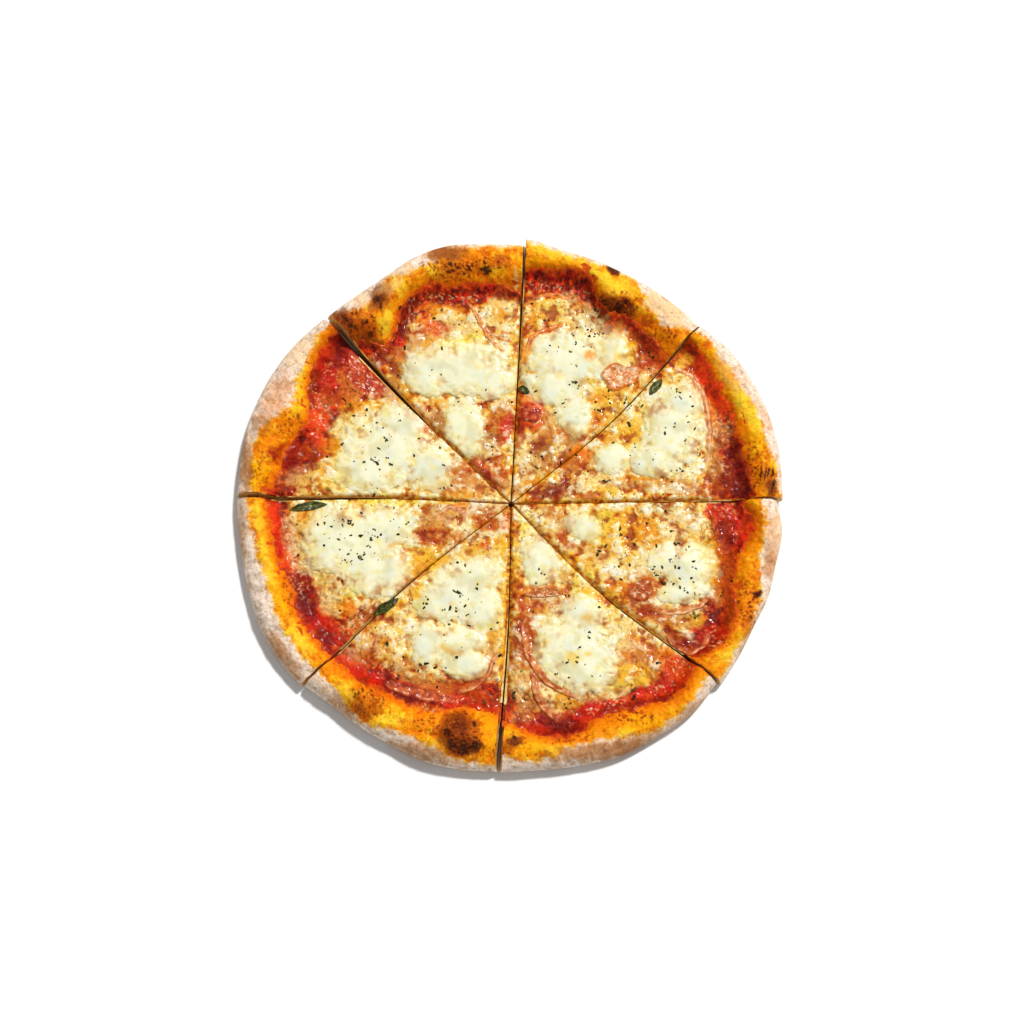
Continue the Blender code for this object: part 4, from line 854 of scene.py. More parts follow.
def crust_colour(x, y, z):
    """Colour of the baked dough: golden crust, browned places and floury rim."""
    u, v = plan(x, y, z)
    k_of, share, _ = where(x, y)
    seen_y = y + LEAN * (z - 8.0)
    seen = np.hypot(x, seen_y)
    radius = np.hypot(x, y)
    along = np.degrees(np.arctan2(y, x)) * 2.6
    wu = u + 2.6 * noise(u, v, 12, 801) + 1.5 * noise(u, v, 5, 802)
    wv = v + 2.6 * noise(u, v, 12, 803) + 1.5 * noise(u, v, 5, 804)
    broad = fbm(wu, wv, 22, 3, 81)
    fine = fbm(wu, wv, 6, 3, 82)
    c = mixed(RGB["crust_orange"][None], RGB["crust"][None], ease(0.60 + 0.9 * broad + 0.5 * fine))
    c = mixed(c, RGB["crust_light"][None], ease((broad + 0.7 * fine - 0.10) / 0.55) * 0.75)
    streak = noise(along * 1.2, radius * 0.35, 2.6, 83)
    c = mixed(c, RGB["crust_orange"][None], ease((streak - 0.15) / 0.4) * 0.45)
    c = mixed(c, np.array([206.0, 104.0, 20.0])[None], ease((noise(wu, wv, 9, 831) - 0.30) / 0.35) * 0.55)
    pores = ease((noise(u, v, 3.0, 832) + 0.4 * noise(u, v, 6.0, 833) - 0.22) / 0.25)
    c = mixed(c, np.array([202.0, 98.0, 16.0])[None], pores * ease((noise(wu, wv, 20, 834) + 0.25) / 0.4) * 0.55)
    light = ease((noise(wu, wv, 4.2, 835) - 0.26) / 0.25)
    c = mixed(c, np.array([255.0, 224.0, 110.0])[None], light * 0.50)
    flat_u, flat_v = plan(x, y)
    # hill follows the crust's own relief, the same noise as in dough_height: the next two lines paint shade into its
    # hollows and light onto its crests
    hill = 0.60 * noise(flat_u, flat_v, 10, 12) + 0.42 * noise(flat_u, flat_v, 4.2, 13) + 0.22 * noise(flat_u, flat_v, 2.2, 131)
    c = mixed(c, np.array([190.0, 84.0, 10.0])[None], ease((-hill - 0.08) / 0.35) * 0.62)
    c = mixed(c, np.array([255.0, 214.0, 72.0])[None], ease((hill - 0.10) / 0.35) * 0.55)
    crack = ease((0.07 - np.abs(noise(wu, wv, 6.5, 836))) / 0.06) * ease((noise(u, v, 17, 837) + 0.05) / 0.3)
    c = mixed(c, np.array([178.0, 84.0, 14.0])[None], crack * 0.55)
    burnt = ease((noise(u, v, 2.4, 838) + 0.5 * noise(u, v, 5.0, 839) - 0.42) / 0.2) * ease((noise(u, v, 26, 840) + 0.1) / 0.4)
    c = mixed(c, np.array([150.0, 62.0, 14.0])[None], burnt * 0.60)
    c = stained(c, wu, wv, [s for s in BAKED if s[5] not in ("umber", "flour", "beige", "pink", "brown", "ham")], 0.45, 430)
    sauce = by_slice(SAUCE, k_of, share)
    c = mixed(c, RGB["crust_orange"][None], ease((sauce + 6.0 + 2.5 * noise(u, v, 7, 84) - seen) / 6.0) * 0.75)
    c = mixed(c, np.array([214.0, 100.0, 22.0])[None], ease((sauce + 2.4 + 2.4 * noise(u, v, 5, 85) - seen) / 3.6) * 0.80)
    # flour
    line = by_slice(FLOUR, k_of, share)
    into = seen - line + 1.9 * noise(u, v, 11, 86) + 1.2 * noise(u, v, 4.5, 87) + 0.5 * noise(u, v, 2, 88)
    grain = noise(u, v, 1.9, 881) + 0.6 * noise(u, v, 3.4, 882)
    dusty = ease((into + 1.3 + 1.3 * grain) / 3.2)
    f = np.repeat(RGB["flour"][None], len(u), 0)
    f = mixed(f, RGB["pink"][None], ease((fbm(u, v, 15, 3, 89) - 0.02) / 0.5) * 0.40)
    f = mixed(f, np.array([178.0, 142.0, 118.0])[None], ease((noise(along * 0.8, radius * 2.0, 3.6, 90) - 0.10) / 0.45) * 0.40)
    f = mixed(f, np.array([160.0, 120.0, 96.0])[None], ease((noise(u, v, 2.6, 901) - 0.35) / 0.3) * 0.30)
    f = mixed(f, np.array([253.0, 246.0, 236.0])[None], ease((noise(u, v, 3.0, 91) + 0.6 * noise(u, v, 1.5, 92) - 0.15) / 0.45) * 0.60)
    c = mixed(c, f, dusty)
    c = stained(c, wu, wv, [s for s in BAKED if s[5] in ("umber", "flour", "beige", "pink", "brown", "ham")], 0.45, 440)
    # speckled blisters and char
    for cu, cv, ru, rv, share_of, dark in ((356, 328, 26, 18, 0.75, 0.9), (367, 702, 20, 17, 0.8, 0.75), (461, 734, 21, 23, 0.95, 0.95),
                                           (455, 270, 22, 12, 0.75, 0.9), (490, 264, 20, 9, 0.65, 0.85), (616, 304, 22, 13, 0.7, 0.85),
                                           (428, 268, 8, 6, 0.7, 0.7), (515, 740, 12, 8, 0.7, 0.85), (632, 718, 28, 8, 0.30, 0.7),
                                           (290, 424, 18, 13, 0.5, 0.6), (748, 605, 11, 26, 0.5, 0.7), (290, 590, 8, 26, 0.45, 0.5),
                                           (430, 725, 22, 10, 0.35, 0.6), (262, 470, 10, 22, 0.35, 0.5), (575, 738, 26, 6, 0.4, 0.5),
                                           (662, 338, 20, 12, 0.35, 0.6), (500, 750, 12, 8, 0.5, 0.7), (754, 468, 9, 24, 0.5, 0.7)):
        at = oval(u, v, cu, cv, ru, rv, 0) < 1.5
        if at.any():
            pu, pv = u[at], v[at]
            near = ease((1.15 - oval(pu, pv, cu, cv, ru, rv, 0) - 0.25 * noise(pu, pv, 6, 93)) / 0.4)
            c[at] = mixed(c[at], RGB["crust_brown"][None], ease((noise(pu, pv, 2.9, 95) + 0.5 * noise(pu, pv, 5.5, 951) - 0.02) / 0.35) * near * dark * 0.65)
            spot = specks(pu, pv, 3.4, 94, share_of, 0.16)
            c[at] = mixed(c[at], RGB["umber"][None], spot * near * dark)
    for cu, cv, r in ((468, 267, 4), (486, 270, 5), (484, 262, 2.5), (613, 269, 4), (377, 299, 5), (381, 306, 3), (345, 318, 3), (758, 594, 4),
                      (352, 326, 3), (366, 322, 3), (372, 334, 3), (465, 749, 7), (476, 745, 5), (452, 744, 5), (447, 732, 4), (475, 724, 3),
                      (514, 738, 3), (618, 308, 5), (604, 302, 3.5), (626, 302, 3.5), (610, 314, 3), (458, 268, 2.5), (450, 264, 2.5), (448, 272, 2.5)):
        at = np.hypot(u - cu, v - cv) < 2 * r
        if at.any():
            d = np.hypot(u[at] - cu, v[at] - cv) / r + 0.75 * noise(u[at], v[at], 2.6, 96) + 0.35 * noise(u[at], v[at], 5, 961)
            c[at] = mixed(c[at], 0.6 * RGB["black"][None] + 0.4 * RGB["umber"][None], ease((1.1 - d) / 0.7) * 0.75)
    streaks = ease((noise((u - 768) * 1.0 + (v - 478) * 0.12, (v - 478) * 0.18, 2.2, 97) - 0.12) / 0.25)
    c = mixed(c, RGB["black"][None], streaks * ease((1.1 - oval(u, v, 768, 478, 9, 17, -8)) / 0.4) * 0.85)
    # the underside and the lower wall of the rim
    low = ease((2.6 - z) / 2.6)
    spots = ease((fbm(x, y, 16, 3, 98) - 0.05) / 0.4)
    under = mixed(np.array([230.0, 204.0, 162.0])[None], np.array([156.0, 100.0, 52.0])[None], spots * 0.8)
    c = mixed(c, under, low)
    return graded(c, 1.16, 0.32, 1.08), np.clip(1 - dusty, 0, 1) * 0.6


def wall_colour(x, y, z, kind):
    """Colour of what a cut shows: baked crumb, sauce or cheese."""
    n = fbm(np.hypot(x, y), z * 1.6, 4.0, 3, 101)
    if kind == "dough":
        c = mixed(np.array([244.0, 212.0, 148.0])[None], np.array([218.0, 158.0, 74.0])[None], ease(0.5 + 1.2 * n))
        c = mixed(c, np.array([180.0, 112.0, 44.0])[None], ease((noise(np.hypot(x, y), z * 1.5, 2.4, 104) - 0.25) / 0.3) * 0.5)
        top = dough_height(x, y, relief=False)
        c = mixed(c, np.array([196.0, 110.0, 34.0])[None], ease((z - top + 1.6) / 1.3) * 0.75)
        c = mixed(c, np.array([176.0, 108.0, 50.0])[None], ease((1.2 - z) / 1.0) * 0.6)
    elif kind == "sauce":
        c = mixed(RGB["sauce_dark"][None], RGB["rust"][None], ease(0.5 + n))
    else:
        c = mixed(RGB["gold"][None], RGB["cream"][None], ease(0.5 + 0.8 * n))
        c = mixed(c, RGB["orange"][None], ease((n - 0.2) / 0.3) * 0.6)
    return c


def graded(c, saturation, depth, warm=1.0):
    """Richer colours and deeper darks, with the lightest colours as they are."""
    grey = (c @ np.array([0.30, 0.59, 0.11]))[:, None]
    c = np.clip(grey + (c - grey) * saturation, 0, 255)
    c[:, 2] = 240.0 * (np.clip(c[:, 2], 0, 255) / 240.0) ** warm
    level = np.clip((0.40 * grey + 0.60 * c.max(1, keepdims=True)) / 238.0, 0.02, 1.0)
    red = np.clip((c[:, :1] - c[:, 1:2]) / 140.0 - 0.2, 0, 1)
    return c * level ** (depth * (1 - 0.75 * red))


def linear(srgb):
    s = np.clip(srgb, 0, 255) / 255.0
    return np.where(s <= 0.04045, s / 12.92, ((s + 0.055) / 1.055) ** 2.4)


# ------------------------------------------------------------------ meshes

ALBEDO = 0.92


def new_mesh(name, points, triangles, colours, wet, uvs=None):
    """An object from points in millimetres, with its colours and UVs."""
    mesh = bpy.data.meshes.new(name)
    count, faces = len(points), len(triangles)
    mesh.vertices.add(count)
    co = np.empty((count, 3))
    co[:, 0] = (points[:, 0] + SHIFT[0]) * MM
    co[:, 1] = (points[:, 1] + SHIFT[1]) * MM
    co[:, 2] = points[:, 2] * MM
    mesh.vertices.foreach_set("co", co.astype(np.float32).ravel())
    mesh.loops.add(faces * 3)
    mesh.loops.foreach_set("vertex_index", triangles.astype(np.int32).ravel())
    mesh.polygons.add(faces)
    mesh.polygons.foreach_set("loop_start", np.arange(0, faces * 3, 3, dtype=np.int32))
    mesh.polygons.foreach_set("loop_total", np.full(faces, 3, np.int32))
    mesh.polygons.foreach_set("use_smooth", np.ones(faces, bool))
    mesh.update(calc_edges=True)
    tint = mesh.attributes.new("Tint", "FLOAT_COLOR", "POINT")
    rgba = np.ones((count, 4), np.float32)
    rgba[:, :3] = linear(colours) * ALBEDO
    tint.data.foreach_set("color", rgba.ravel())
    moist = mesh.attributes.new("Moist", "FLOAT", "POINT")
    moist.data.foreach_set("value", np.broadcast_to(wet, (count,)).astype(np.float32))
    if uvs is not None:
        layer = mesh.uv_layers.new(name="OFBake")
        layer.data.foreach_set("uv", uvs[triangles.ravel()].astype(np.float32).ravel())
    mesh.validate()
    made = bpy.data.objects.new(name, mesh)
    bpy.context.scene.collection.objects.link(made)
    return made


def zipped(a, b, flip=False):
    """Triangles between two lines of point numbers, which may differ in count."""
    if len(b) < len(a):
        return zipped(b, a, not flip)
    na, nb = len(a), len(b)
    p = np.rint((np.arange(nb - 1) + 0.5) * (na - 1) / (nb - 1)).astype(int)
    first = np.stack([b[:-1], b[1:], a[p]], 1)
    q = np.searchsorted(p, np.arange(na - 1), side="right")
    second = np.stack([a[:-1], b[q], a[1:]], 1)
    tris = np.concatenate([first, second])
    return tris[:, ::-1] if flip else tris


class Builder:
    """Collects lines of points into one closed mesh with a UV for each point."""

    def __init__(self):
        self.points, self.uvs, self.kinds, self.tris, self.count = [], [], [], [], 0

    def line(self, points, uvs, kind):
        start = self.count
        self.points.append(points)
        self.uvs.append(uvs)
        self.kinds.append(np.full(len(points), kind))
        self.count += len(points)
        return np.arange(start, self.count)

    def zip(self, a, b, flip=False):
        self.tris.append(zipped(a, b, flip))

    def arrays(self):
        return np.concatenate(self.points), np.concatenate(self.tris), np.concatenate(self.uvs), np.concatenate(self.kinds)


def slice_line(k, t, reach, count, lower=False):
    """x, y of a line of points across slice k, at a share t of the way out to reach(share)."""
    share = np.linspace(0, 1, count)
    radius = TIP + (reach(share) - TIP) * t
    first = cut_side(k, -1, radius, lower)
    last = cut_side(k + 1, 1, radius, lower)
    last = np.where(last > first, last - 2 * math.pi, last)
    angle = first + (last - first) * share
    return radius * np.cos(angle), radius * np.sin(angle)


def slice_piece(name, k, kind, reach, rows, spacing, top, bottom, wall_steps):
    """A wedge-shaped piece: fine top, walls at the cuts, plain underside."""
    b = Builder()
    middle = math.radians(0.5 * (CUTS[k][1] + CUTS[(k + 1) % 8][1] - (360 if CUTS[(k + 1) % 8][1] > CUTS[k][1] else 0)))
    cosine, sine = math.cos(middle), math.sin(middle)

    def chart(x, y, low, high):
        along, across = x * cosine + y * sine, -x * sine + y * cosine
        return np.stack([0.01 + 0.97 * along / 156.0, low + (high - low) * (across / 130.0 + 0.5)], 1)

    upper, flat = [], []
    for t, gap in rows:
        width = 0.79 * (TIP + (float(reach(np.array([0.5]))[0]) - TIP) * t)
        count = max(4, int(round(width / gap)) + 1)
        flat.append(slice_line(k, t, reach, count))
    heights = top(np.concatenate([x for x, _ in flat]), np.concatenate([y for _, y in flat]))
    done = 0
    for x, y in flat:
        z = heights[done:done + len(x)]
        done += len(x)
        upper.append(b.line(np.stack([x, y, z], 1), chart(x, y, 0.0, 0.62), 0))
    for one, two in zip(upper, upper[1:]):
        b.zip(one, two, True)
    # underside
    lower_rows = np.unique(np.concatenate([np.linspace(0, 0.9, 13), 1 - (1 - np.linspace(0, 1, 9)) ** 2 * 0.1]))
    lower = []
    for t in lower_rows:
        x, y = slice_line(k, t, reach, 25 if t < 0.5 else 49, True)
        lower.append(b.line(np.stack([x, y, bottom(x, y)], 1), chart(x, y, 0.64, 0.98) * [0.55, 1.0], 1))
    for one, two in zip(lower, lower[1:]):
        b.zip(one, two, False)
    # walls
    under_points = np.concatenate(b.points)
    sides = (
        (np.array([row[0] for row in upper]), np.array([row[0] for row in lower]), False, 0),
        (np.array([row[-1] for row in upper]), np.array([row[-1] for row in lower]), True, 1),
        (upper[0], lower[0], True, 2),
        (upper[-1], lower[-1], False, 3),
    )
    for high, low, flip, number in sides:
        high_points, low_points = under_points[high], under_points[low]
        count = len(high)
        at = np.linspace(0, 1, count)
        low_even = np.stack([np.interp(at, np.linspace(0, 1, len(low)), low_points[:, i]) for i in range(3)], 1)
        if number < 2:
            # match by distance from the middle
            rh, rl = np.hypot(*high_points[:, :2].T), np.hypot(*low_points[:, :2].T)
            low_even = np.stack([np.interp(rh, rl, low_points[:, i]) for i in range(3)], 1)
            low_even[:, 2] = np.minimum(low_even[:, 2], high_points[:, 2] - 0.02)
        reach_u = np.linspace(0.6, 0.98, count)
        v0 = 0.66 + 0.08 * number
        previous = b.line(high_points, np.stack([reach_u, np.full(count, v0)], 1), 2)
        for step in range(1, wall_steps + 1):
            s = step / wall_steps
            bulge = high_points + (low_even - high_points) * s
            line = b.line(bulge, np.stack([reach_u, np.full(count, v0 + 0.07 * s)], 1), 2)
            b.zip(previous, line, flip)
            previous = line
        tail = b.line(low_points, np.stack([np.linspace(0.6, 0.98, len(low)), np.full(len(low), v0 + 0.072)], 1), 2)
        b.zip(previous, tail, flip)
    points, tris, uvs, kinds = b.arrays()
    return points, tris, uvs, kinds


def rows_between(reach_mid, fine_from, fine, coarse, stop=1.0):
    """Shares of the way out and the spacing there: coarse inside, fine outside."""
    rows, r = [], TIP
    while r < reach_mid * stop - 0.3 * fine:
        gap = coarse if r < fine_from - coarse else fine
        rows.append(((r - TIP) / (reach_mid - TIP), gap))
        r += gap
    rows.append((stop, fine))
    return rows


# ------------------------------------------------------------------ materials


def material(name, rough_wet, rough_dry, coat, coat_rough, bump, grain, tone, shine, subsurface=0.0, spots=None):
    """A food surface: vertex colours with fine grain, roughness by moisture, and a fine relief."""
    made = bpy.data.materials.new(name)
    made.use_nodes = True
    nodes, links = made.node_tree.nodes, made.node_tree.links
    shader = nodes["Principled BSDF"]
    tint = nodes.new("ShaderNodeAttribute")
    tint.attribute_name = "Tint"
    moist = nodes.new("ShaderNodeAttribute")
    moist.attribute_name = "Moist"
    place = nodes.new("ShaderNodeTexCoord")
    fine = nodes.new("ShaderNodeTexNoise")
    fine.inputs["Scale"].default_value = grain
    fine.inputs["Detail"].default_value = 4.0
    fine.inputs["Roughness"].default_value = 0.6
    links.new(place.outputs["Object"], fine.inputs["Vector"])
    level = nodes.new("ShaderNodeMapRange")
    level.inputs["From Min"].default_value = 0.3
    level.inputs["From Max"].default_value = 0.7
    level.inputs["To Min"].default_value = 1.0 - tone
    level.inputs["To Max"].default_value = 1.0 + tone
    links.new(fine.outputs["Fac"], level.inputs["Value"])
    scaled = nodes.new("ShaderNodeVectorMath")
    scaled.operation = "SCALE"
    links.new(tint.outputs["Color"], scaled.inputs[0])
    links.new(level.outputs["Result"], scaled.inputs["Scale"])
    # With spots given, a second noise multiplies some small spots darker with the stain tint and screens others paler
    # with a warm tint. These pale spots are partly oil and partly painted glints.
    if spots:
        scale, amount, stain, glint_and_oil_tint = spots
        second = nodes.new("ShaderNodeTexNoise")
        second.inputs["Scale"].default_value = scale
        second.inputs["Detail"].default_value = 3.0
        second.inputs["Roughness"].default_value = 0.7
        links.new(place.outputs["Object"], second.inputs["Vector"])
        last = scaled.outputs["Vector"]
        for low, high, kind, tint_of in ((0.56, 0.68, "MULTIPLY", stain), (0.44, 0.32, "SCREEN", glint_and_oil_tint)):
            gate = nodes.new("ShaderNodeMapRange")
            gate.inputs["From Min"].default_value = low
            gate.inputs["From Max"].default_value = high
            gate.inputs["To Max"].default_value = amount
            links.new(second.outputs["Fac"], gate.inputs["Value"])
            blend = nodes.new("ShaderNodeMix")
            blend.data_type = "RGBA"
            blend.blend_type = kind
            blend.inputs[7].default_value = (*tint_of, 1.0)
            links.new(gate.outputs["Result"], blend.inputs[0])
            links.new(last, blend.inputs[6])
            last = blend.outputs[2]
        links.new(last, shader.inputs["Base Color"])
    else:
        links.new(scaled.outputs["Vector"], shader.inputs["Base Color"])
    rough = nodes.new("ShaderNodeMapRange")
    rough.inputs["To Min"].default_value = rough_dry
    rough.inputs["To Max"].default_value = rough_wet
    links.new(moist.outputs["Fac"], rough.inputs["Value"])
    links.new(rough.outputs["Result"], shader.inputs["Roughness"])
    relief = nodes.new("ShaderNodeBump")
    relief.inputs["Strength"].default_value = bump
    relief.inputs["Distance"].default_value = 0.0004
    links.new(fine.outputs["Fac"], relief.inputs["Height"])
    links.new(relief.outputs["Normal"], shader.inputs["Normal"])
    shader.inputs["Specular IOR Level"].default_value = shine
    shader.inputs["Coat Weight"].default_value = coat
    shader.inputs["Coat Roughness"].default_value = coat_rough
    if subsurface:
        shader.inputs["Subsurface Weight"].default_value = subsurface
        shader.inputs["Subsurface Radius"].default_value = (0.0025, 0.0018, 0.0010)
        shader.inputs["Subsurface Scale"].default_value = 1.0
    return made


DOUGH = material("baked_dough", 0.45, 0.85, 0.0, 0.3, 0.8, 1300.0, 0.17, 0.08, spots=(620.0, 0.8, (0.64, 0.42, 0.24), (0.10, 0.07, 0.01)))
SAUCED = material("tomato_sauce", 0.40, 0.50, 0.15, 0.07, 0.9, 1000.0, 0.22, 0.08, spots=(560.0, 0.8, (0.50, 0.26, 0.26), (0.14, 0.03, 0.004)))
CHEESE = material("melted_cheese", 0.40, 0.50, 0.16, 0.10, 0.7, 1000.0, 0.16, 0.12, spots=(520.0, 0.8, (0.74, 0.44, 0.20), (0.10, 0.07, 0.02)))
MOZZ = material("melted_mozzarella", 0.36, 0.48, 0.12, 0.14, 0.14, 420.0, 0.02, 0.22, 0.12)
HAM = material("cooked_ham", 0.38, 0.50, 0.15, 0.12, 0.6, 900.0, 0.15, 0.12, spots=(600.0, 0.8, (0.70, 0.42, 0.28), (0.12, 0.08, 0.04)))
HERB = material("dried_herb", 0.55, 0.75, 0.0, 0.3, 0.4, 1500.0, 0.25, 0.15)
LEAF = material("basil_leaf", 0.35, 0.6, 0.15, 0.2, 0.4, 900.0, 0.20, 0.2)
TOMATO = material("tomato_flesh", 0.25, 0.4, 0.3, 0.08, 0.3, 800.0, 0.12, 0.2)


def finished(piece, finish, slot, *nodes):
    piece.data.materials.append(finish)
    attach(piece, "root")
    if nodes:
        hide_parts(*nodes)
    return piece


# ------------------------------------------------------------------ slices

FINE = 0.60


def dough_bottom(x, y):
    k_of, share, radius = where(x, y)
    inward = by_slice(OUTLINES, k_of, share) - EDGE_IN - radius
    part = np.clip((7.0 - inward) / 7.0, 0, 1)
    return 5.0 * (1 - np.sqrt(np.clip(1 - part**2.2, 0, 1)))


for k in range(8):
    number = k + 1

    def edge_reach(share, k=k):
        return through(OUTLINES[k], share) - EDGE_IN

    def sauce_reach(share, k=k):
        return through(SAUCE[k], share) + 4.0

    def cheese_reach(share, k=k):
        return through(SAUCE[k], share) - through(BANDS[k], share) + 7.0

    mid = float(edge_reach(np.array([0.5]))[0])
    rows = rows_between(mid, mid - 36.0, FINE, 6.0, 0.955)
    rows += [(1 - (1 - 0.955) * (1 - i / 16) ** 2, FINE) for i in range(1, 17)]
    points, tris, uvs, kinds = slice_piece(
        f"dough_{number}", k, "dough", edge_reach, rows, FINE,
        lambda x, y: dough_height(x, y) - 0.5 * side_drop(x, y), dough_bottom, 5)
    x, y, z = points.T
    colours, wet = crust_colour(x, y, z)
    wall = kinds == 2
    _, share_at, radius_at = where(x, y)
    outer_wall = wall & (radius_at > edge_reach(share_at) - 0.9)
    cut_wall = wall & ~outer_wall
    colours[cut_wall] = wall_colour(x[cut_wall], y[cut_wall], z[cut_wall], "dough")
    piece = new_mesh(f"dough_{number}", points, tris, colours, wet, uvs)
    finished(piece, DOUGH, "dough", f"slice_{number}_dough")

    smid = float(sauce_reach(np.array([0.5]))[0])
    rows = rows_between(smid, smid - 36.0, FINE * 1.1, 4.0)
    points, tris, uvs, kinds = slice_piece(
        f"sauce_{number}", k, "sauce", sauce_reach, rows, FINE,
        sauce_height, lambda x, y: dough_height(x, y, relief=False) - 0.6, 2)
    x, y, z = points.T
    colours, wet = field_colour(x, y, z)
    wall = kinds == 2
    colours[wall] = wall_colour(x[wall], y[wall], z[wall], "sauce")
    piece = new_mesh(f"sauce_{number}", points, tris, colours, wet, uvs)
    finished(piece, SAUCED, "sauce", f"slice_{number}_sauce")

    cmid = float(cheese_reach(np.array([0.5]))[0])
    rows = rows_between(cmid, 0.0, FINE, 4.0)
    points, tris, uvs, kinds = slice_piece(
        f"cheese_{number}", k, "cheese", cheese_reach, rows, FINE,
        cheese_height, lambda x, y: np.minimum(dough_height(x, y, relief=False) + 0.4, cheese_height(x, y) - 0.3), 3)
    x, y, z = points.T
    colours, wet = field_colour(x, y, z)
    wall = kinds == 2
    colours[wall] = wall_colour(x[wall], y[wall], z[wall], "cheese")
    piece = new_mesh(f"cheese_{number}", points, tris, colours, wet, uvs)
    finished(piece, CHEESE, "cheese", f"slice_{number}_cheese")


# ------------------------------------------------------------------ toppings


def kept_in(k, x, y, margin):
    """Points moved, where need be, to stay a margin inside slice k's cuts."""
    radius = np.maximum(np.hypot(x, y), 1.0)
    first = cut_side(k, -1, radius) - margin / radius
    last = cut_side(k + 1, 1, radius) + margin / radius
    last = np.where(last > first, last - 2 * math.pi, last)
    middle = 0.5 * (first + last)
    angle = np.arctan2(y, x)
    angle = middle + np.mod(angle - middle + math.pi, 2 * math.pi) - math.pi
    angle = np.clip(angle, last, first)
    return radius * np.cos(angle), radius * np.sin(angle)


for name, (ovals, crown) in POOLS.items():
    k = int(name.split("_")[1][0]) - 1
    cu = sum(o[0] for o in ovals) / len(ovals)
    cv = sum(o[1] for o in ovals) / len(ovals)
    angles = np.linspace(0, 2 * math.pi, 721)[:-1]
    steps = np.linspace(1, 90, 179)
    uu = cu + np.cos(angles)[:, None] * steps
    vv = cv + np.sin(angles)[:, None] * steps
    inside = pool_edge(name, uu, vv) < 1.06
    reach = np.array([steps[row].max() if row.any() else 3.0 for row in inside]) + 1.0
    around = np.concatenate([reach[-30:], reach, reach[:30]])
    widest = np.array([around[i:i + 61].max() for i in range(len(reach))])
    around = np.concatenate([widest[-24:], widest, widest[:24]])
    reach = np.array([around[i:i + 49].mean() for i in range(len(reach))])
    b = Builder()
    rings = max(8, int(np.max(reach) / 1.25))
    lines = []
    for i in range(rings + 1):
        t = 1 - i / rings
        t = max(t, 0.004)
        count = max(8, int(2 * math.pi * np.mean(reach) * t / 1.25))
        at = np.linspace(0, 2 * math.pi, count + 1)
        r = np.interp(at, np.append(angles, 2 * math.pi), np.append(reach, reach[0])) * t
        x, y = unplan(cu + r * np.cos(at), cv + r * np.sin(at))
        x, y = kept_in(k, x, y, 0.35)
        lines.append((x, y))
    lo = np.min([[l[0].min(), l[1].min()] for l in lines], axis=0)
    hi = np.max([[l[0].max(), l[1].max()] for l in lines], axis=0)
    size = float(np.max(hi - lo))
    ids = []
    every = np.concatenate([x for x, _ in lines]), np.concatenate([y for _, y in lines])
    u, v = plan(*every)
    d = pool_edge(name, u, v)
    inside = ease((1.0 - d) / 0.30)
    lift = crown * np.clip(1 - np.clip(d, 0, 1) ** 2.6, 0, 1) ** 0.65 - 0.45 * ease((d - 0.97) / 0.10) + 0.04
    lift = lift + inside * (0.22 * noise(u, v, 22, 120) + 0.05 * noise(u, v, 8, 121))
    smooth = cheese_height(*every, relief=False)
    rough = cheese_height(*every)
    ground = dough_height(*every, relief=False) + 3.0
    base = rough + (smooth - rough) * ease((1.02 - d) / 0.12)
    base = base + (np.minimum(ground, base + 0.6) - base) * inside * 0.90
    every_z = base + lift
    done = 0
    for x, y in lines:
        z = every_z[done:done + len(x)]
        done += len(x)
        ids.append(b.line(np.stack([x, y, z], 1), np.stack([0.01 + 0.68 * (x - lo[0]) / size, 0.01 + 0.68 * (y - lo[1]) / size], 1), 0))
    for one, two in zip(ids, ids[1:]):
        b.zip(one, two, False)
    x, y = lines[0]
    pts = b.points[0].copy()
    pts[:, 2] = cheese_height(x, y, relief=False) - 0.8
    low = b.line(pts, np.stack([np.linspace(0.02, 0.98, len(x)), np.full(len(x), 0.98)], 1), 1)
    top = b.line(b.points[0], np.stack([np.linspace(0.02, 0.98, len(x)), np.full(len(x), 0.95)], 1), 1)
    b.zip(low, top, False)
    mx, my = float(np.mean(x)), float(np.mean(y))
    ring = low
    for t in (0.5, 0.02):
        qx, qy = mx + (x[::4] - mx) * t, my + (y[::4] - my) * t
        nxt = b.line(np.stack([qx, qy, cheese_height(qx, qy, relief=False) - 1.0], 1),
                     np.stack([0.72 + 0.25 * (qx - lo[0]) / size, 0.02 + 0.25 * (qy - lo[1]) / size], 1), 1)
        b.zip(ring, nxt, True)
        ring = nxt
    points, tris, uvs, kinds = b.arrays()
    px, py, pz = points.T
    colours, wet = field_colour(px, py, pz)
    piece = new_mesh(name, points, tris, colours, wet, uvs)
    finished(piece, MOZZ, "mozzarella", name)


